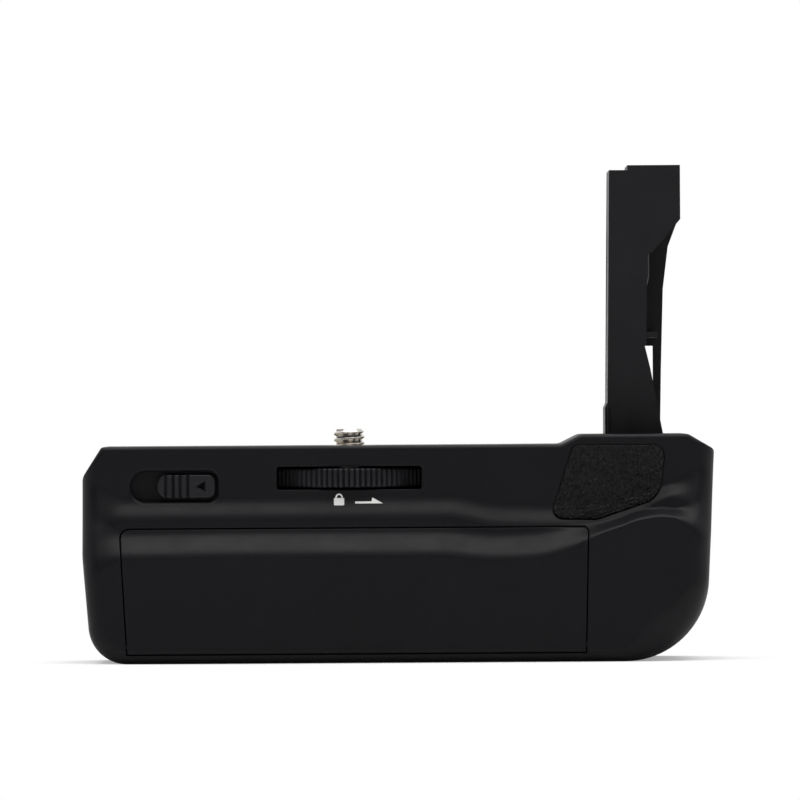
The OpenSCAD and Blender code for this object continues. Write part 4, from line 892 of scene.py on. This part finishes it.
def finish(name, dark, light, rough, metallic=0.0, specular=0.25, grain=5200.0, bump=0.12, bump_size=0.00004,
           spread=60.0, tones=(0.1, 0.9)):
    """Finish whose colour runs from dark to light and whose roughness runs over a range with the grain's tone and
    polish, and whose relief is the grain's height."""
    made = bpy.data.materials.new(name)
    made.use_nodes = True
    tree = made.node_tree
    link = tree.links.new
    shader = tree.nodes["Principled BSDF"]
    shader.inputs["Metallic"].default_value = metallic
    shader.inputs["Specular IOR Level"].default_value = specular
    place = tree.nodes.new("ShaderNodeTexCoord")
    effect = tree.nodes.new("ShaderNodeGroup")
    effect.node_tree = GRAIN
    effect.inputs["Grain"].default_value = grain
    effect.inputs["Spread"].default_value = spread
    link(place.outputs["Object"], effect.inputs["Vector"])
    tone = tree.nodes.new("ShaderNodeMix")
    tone.data_type = "RGBA"
    tone.inputs["A"].default_value = (*dark, 1)
    tone.inputs["B"].default_value = (*light, 1)
    contrast = add_node(tree, "ShaderNodeMapRange")
    contrast.inputs["From Min"].default_value = tones[0]
    contrast.inputs["From Max"].default_value = tones[1]
    link(effect.outputs["Tone"], contrast.inputs["Value"])
    link(contrast.outputs["Result"], tone.inputs["Factor"])
    link(tone.outputs["Result"], shader.inputs["Base Color"])
    polish = add_node(tree, "ShaderNodeMapRange")
    polish.inputs["From Min"].default_value = 0.3
    polish.inputs["From Max"].default_value = 0.7
    polish.inputs["To Min"].default_value = rough[0]
    polish.inputs["To Max"].default_value = rough[1]
    link(effect.outputs["Polish"], polish.inputs["Value"])
    link(polish.outputs["Result"], shader.inputs["Roughness"])
    relief = tree.nodes.new("ShaderNodeBump")
    relief.inputs["Strength"].default_value = bump
    relief.inputs["Distance"].default_value = bump_size
    link(effect.outputs["Height"], relief.inputs["Height"])
    link(relief.outputs["Normal"], shader.inputs["Normal"])
    return made


case_plastic = finish("case_plastic", (0.0046, 0.0045, 0.0057), (0.0070, 0.0068, 0.0084), (0.40, 0.50),
                      specular=0.13)
slide_plastic = finish("slide_plastic", (0.0105, 0.0102, 0.0122), (0.0150, 0.0147, 0.0172), (0.36, 0.46),
                       specular=0.2)
# The stalk halves' plastic is the case's black made lighter: painted light that brightens the stalk's face, which
# lies in shade behind the deck and shoulder.
stalk_plastic_painted_lighter = finish("stalk_plastic_painted_lighter", (0.0088, 0.0086, 0.0102), (0.0122, 0.0120, 0.0140), (0.38, 0.48),
                       specular=0.18)
inner_plastic = finish("inner_plastic", (0.010, 0.010, 0.011), (0.016, 0.016, 0.017), (0.45, 0.58))
gloss = finish("button_gloss", (0.006, 0.006, 0.007), (0.010, 0.010, 0.011), (0.14, 0.22), specular=0.4, bump=0.03)
# The rubber's lighter specks, about the size of its pebbles, are painted highlights that stand in for light
# catching the pebble tops; they lie at random and do not follow the pebbles.
rubber = finish("soft_rubber_painted_specks", (0.0008, 0.0008, 0.0012), (0.0084, 0.0082, 0.0094), (0.42, 0.55), specular=0.17,
                grain=9000.0, bump=0.2, spread=1300.0, tones=(0.36, 0.64))
foam = finish("door_foam", (0.014, 0.014, 0.014), (0.03, 0.03, 0.03), (0.8, 0.95), specular=0.1, grain=3000.0,
              bump=0.5, bump_size=0.0001)
nickel = finish("nickel_steel", (0.50, 0.47, 0.44), (0.62, 0.60, 0.57), (0.16, 0.30), 1.0, bump=0.05)
black_steel = finish("black_steel", (0.02, 0.02, 0.021), (0.05, 0.05, 0.05), (0.3, 0.42), 1.0, bump=0.06)
brass = finish("brass", (0.62, 0.43, 0.16), (0.78, 0.58, 0.26), (0.18, 0.32), 1.0, bump=0.05)
board = finish("board_green", (0.008, 0.05, 0.018), (0.014, 0.085, 0.03), (0.3, 0.4), specular=0.4)
lead = finish("lead_insulation", (0.012, 0.012, 0.013), (0.02, 0.02, 0.021), (0.35, 0.5), specular=0.3)
pointer_ink = finish("pointer_ink", (0.0006, 0.0006, 0.0007), (0.0014, 0.0014, 0.0015), (0.6, 0.75), specular=0.05)
ink = finish("sign_ink", (0.74, 0.74, 0.72), (0.84, 0.84, 0.83), (0.45, 0.6), bump=0.1)

NODE_FINISH = {
    "stalk_rear_half": stalk_plastic_painted_lighter, "stalk_front_half": stalk_plastic_painted_lighter,
    "deck_bush": brass, "tripod_bush": brass, "stalk_contacts": brass, "bay_contacts": brass,
    "circuit_board": board, "stalk_wires": lead, "board_parts": inner_plastic, "battery_cage": inner_plastic,
    "stalk_contact_block": inner_plastic, "wheel_bracket": nickel, "wheel_clip": black_steel,
    "latch_bolt": black_steel, "latch_screw": nickel, "hinge_pins": black_steel,
    "release_button": gloss, "release_switch": inner_plastic,
    "release_jack": black_steel, "base_screws": black_steel, "deck_screws": black_steel,
    "stalk_screws": nickel, "flange_screws": nickel, "bracket_screws": nickel, "board_screws": nickel}


def dress(made, material):
    """One material on a piece or a CAD node."""
    made.data.materials.clear()
    made.data.materials.append(material)


for name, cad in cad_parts.items():
    dress(cad, NODE_FINISH.get(name, case_plastic))
for made in (rear_shell, front_shell, door_panel):
    dress(made, case_plastic)
for made in (knurled_wheel, slider_cap):
    dress(made, slide_plastic)
dress(pointer, pointer_ink)
for made in (thumb_skin, lobe_skin):
    dress(made, rubber)
for made in (pad_left, pad_right):
    dress(made, foam)
for made in (arrow, lock_body, lock_bow):
    dress(made, ink)
for made in (mount_screw, latch_coil, release_coil):
    dress(made, nickel)


def soften(cad, width):
    """Rounded edges on a CAD node: its loose faces are welded, then edges steeper than 35 degrees are bevelled."""
    weld = cad.modifiers.new("weld", "WELD")
    weld.merge_threshold = 0.000002
    bevel = cad.modifiers.new("soft_edge", "BEVEL")
    bevel.width = width * MM
    bevel.segments = 2
    bevel.limit_method = "ANGLE"
    bevel.angle_limit = math.radians(35)
    bevel.harden_normals = False


for name, width in (("stalk_rear_half", 0.3), ("stalk_front_half", 0.3), ("top_deck", 0.12), ("base_plate", 0.12),
                    ("battery_cage", 0.2), ("stalk_contact_block", 0.15), ("release_cup", 0.2),
                    ("release_button", 0.25), ("release_jack", 0.2)):
    soften(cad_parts[name], width)

# Stage, light and camera

FLOOR_R = 4.4
WALL_R = 4.5
WALL_H = 7.0
SHADOW_REACH = (0.066, 0.042, 1.0)


def disc(name, radius, height):
    """Flat round floor: rings of a growing radius about the origin, in metres."""
    angle = np.linspace(0, 2 * np.pi, 96, endpoint=False)
    r = np.array([0.02, 0.2, 0.5, 1.0, 2.0, radius])[:, None] / MM
    points = np.stack([r * np.cos(angle), r * np.sin(angle), np.full((6, 96), height / MM)], -1)
    return piece(name, points.reshape(-1, 3), strips(6, 96) + [list(range(96))])


def arc_wall(name, radius, height, half):
    """Round wall about the origin, in metres, for half an angle on both sides of the camera."""
    angle = np.linspace(-half, half, 96) - np.pi / 2
    z = np.array([0, height])[:, None] / MM
    r = radius / MM
    points = np.stack(np.broadcast_arrays(r * np.cos(angle)[None], r * np.sin(angle)[None], z), -1)
    return piece(name, points.reshape(-1, 3), strips(2, 96, closed=False))


floor = disc("floor", FLOOR_R, -0.00002)
studio_wall = arc_wall("studio_wall", WALL_R, WALL_H, math.radians(62))
studio_wall.visible_camera = False

wall_paint = bpy.data.materials.new("wall_paint")
wall_paint.use_nodes = True
wall_paint.node_tree.nodes["Principled BSDF"].inputs["Base Color"].default_value = (0.05, 0.05, 0.05, 1)
wall_paint.node_tree.nodes["Principled BSDF"].inputs["Roughness"].default_value = 0.9
dress(studio_wall, wall_paint)


def seen_rays(tree):
    """1 for rays that show the background: camera, glossy and transmission rays."""
    path = tree.nodes.new("ShaderNodeLightPath")
    first = add_node(tree, "ShaderNodeMath", operation="MAXIMUM")
    second = add_node(tree, "ShaderNodeMath", operation="MAXIMUM")
    tree.links.new(path.outputs["Is Camera Ray"], first.inputs[0])
    tree.links.new(path.outputs["Is Glossy Ray"], first.inputs[1])
    tree.links.new(first.outputs[0], second.inputs[0])
    tree.links.new(path.outputs["Is Transmission Ray"], second.inputs[1])
    return second.outputs[0]


def floor_finish():
    """White paper: lit paper near the object, which keeps its shadow, and plain white further out."""
    made = bpy.data.materials.new("floor_paper")
    made.use_nodes = True
    tree = made.node_tree
    shader = tree.nodes["Principled BSDF"]
    shader.inputs["Base Color"].default_value = (0.94, 0.94, 0.94, 1)
    shader.inputs["Roughness"].default_value = 0.9
    shader.inputs["Specular IOR Level"].default_value = 0.1
    white = add_node(tree, "ShaderNodeEmission")
    place = tree.nodes.new("ShaderNodeTexCoord")
    spread_out = add_node(tree, "ShaderNodeVectorMath", operation="DIVIDE")
    spread_out.inputs[1].default_value = SHADOW_REACH
    away = add_node(tree, "ShaderNodeVectorMath", operation="LENGTH")
    far = add_node(tree, "ShaderNodeMapRange", interpolation_type="SMOOTHSTEP")
    far.inputs["From Min"].default_value = 1.0
    far.inputs["From Max"].default_value = 1.25
    far.inputs["To Min"].default_value = 0.3
    both = add_node(tree, "ShaderNodeMath", operation="MULTIPLY")
    mix = tree.nodes.new("ShaderNodeMixShader")
    link = tree.links.new
    link(place.outputs["Object"], spread_out.inputs[0])
    link(spread_out.outputs["Vector"], away.inputs[0])
    link(away.outputs["Value"], far.inputs["Value"])
    link(far.outputs["Result"], both.inputs[0])
    link(tree.nodes.new("ShaderNodeLightPath").outputs["Is Camera Ray"], both.inputs[1])
    link(both.outputs[0], mix.inputs["Fac"])
    link(shader.outputs[0], mix.inputs[1])
    link(white.outputs[0], mix.inputs[2])
    link(mix.outputs[0], tree.nodes["Material Output"].inputs["Surface"])
    return made


dress(floor, floor_finish())

world = bpy.data.worlds.new("studio")
bpy.context.scene.world = world
world.use_nodes = True
sky = world.node_tree
level = add_node(sky, "ShaderNodeMapRange")
level.inputs["To Min"].default_value = 0.9
sky.links.new(seen_rays(sky), level.inputs["Value"])
sky.links.new(level.outputs["Result"], sky.nodes["Background"].inputs["Strength"])
sky.nodes["Background"].inputs["Color"].default_value = (1, 1, 1, 1)


def lamp(name, place, aim, size, power):
    """Soft rectangular lamp at a place, turned to a point."""
    data = bpy.data.lights.new(name, "AREA")
    data.shape = "RECTANGLE"
    data.size, data.size_y = size
    data.energy = power
    made = bpy.data.objects.new(name, data)
    bpy.context.scene.collection.objects.link(made)
    made.location = place
    made.rotation_euler = (Vector(aim) - Vector(place)).to_track_quat("-Z", "Y").to_euler()
    return made


lamp("top_soft", (0.0, -0.05, 0.9), (0, 0, 0.04), (0.9, 0.7), 6.5)
lamp("front_fill", (0.35, -1.7, 1.1), (0, 0, 0.05), (1.2, 0.8), 5)

VIEW_AWAY = 3.0
VIEW_WIDTH = 0.164
VIEW_X = 0.00045
VIEW_Z = 0.0539
VIEW_ROLL = 0.37
SENSOR = 36
camera = bpy.data.objects.new("camera", bpy.data.cameras.new("camera"))
bpy.context.scene.collection.objects.link(camera)
camera.data.sensor_width = SENSOR
camera.data.lens = SENSOR * VIEW_AWAY / VIEW_WIDTH
camera.data.clip_end = 20
camera.location = (VIEW_X, -REAR_TOTAL * MM - VIEW_AWAY, VIEW_Z)
camera.rotation_euler = (math.radians(90), math.radians(VIEW_ROLL), 0)
bpy.context.scene.camera = camera
bpy.context.scene.view_settings.view_transform = "Standard"
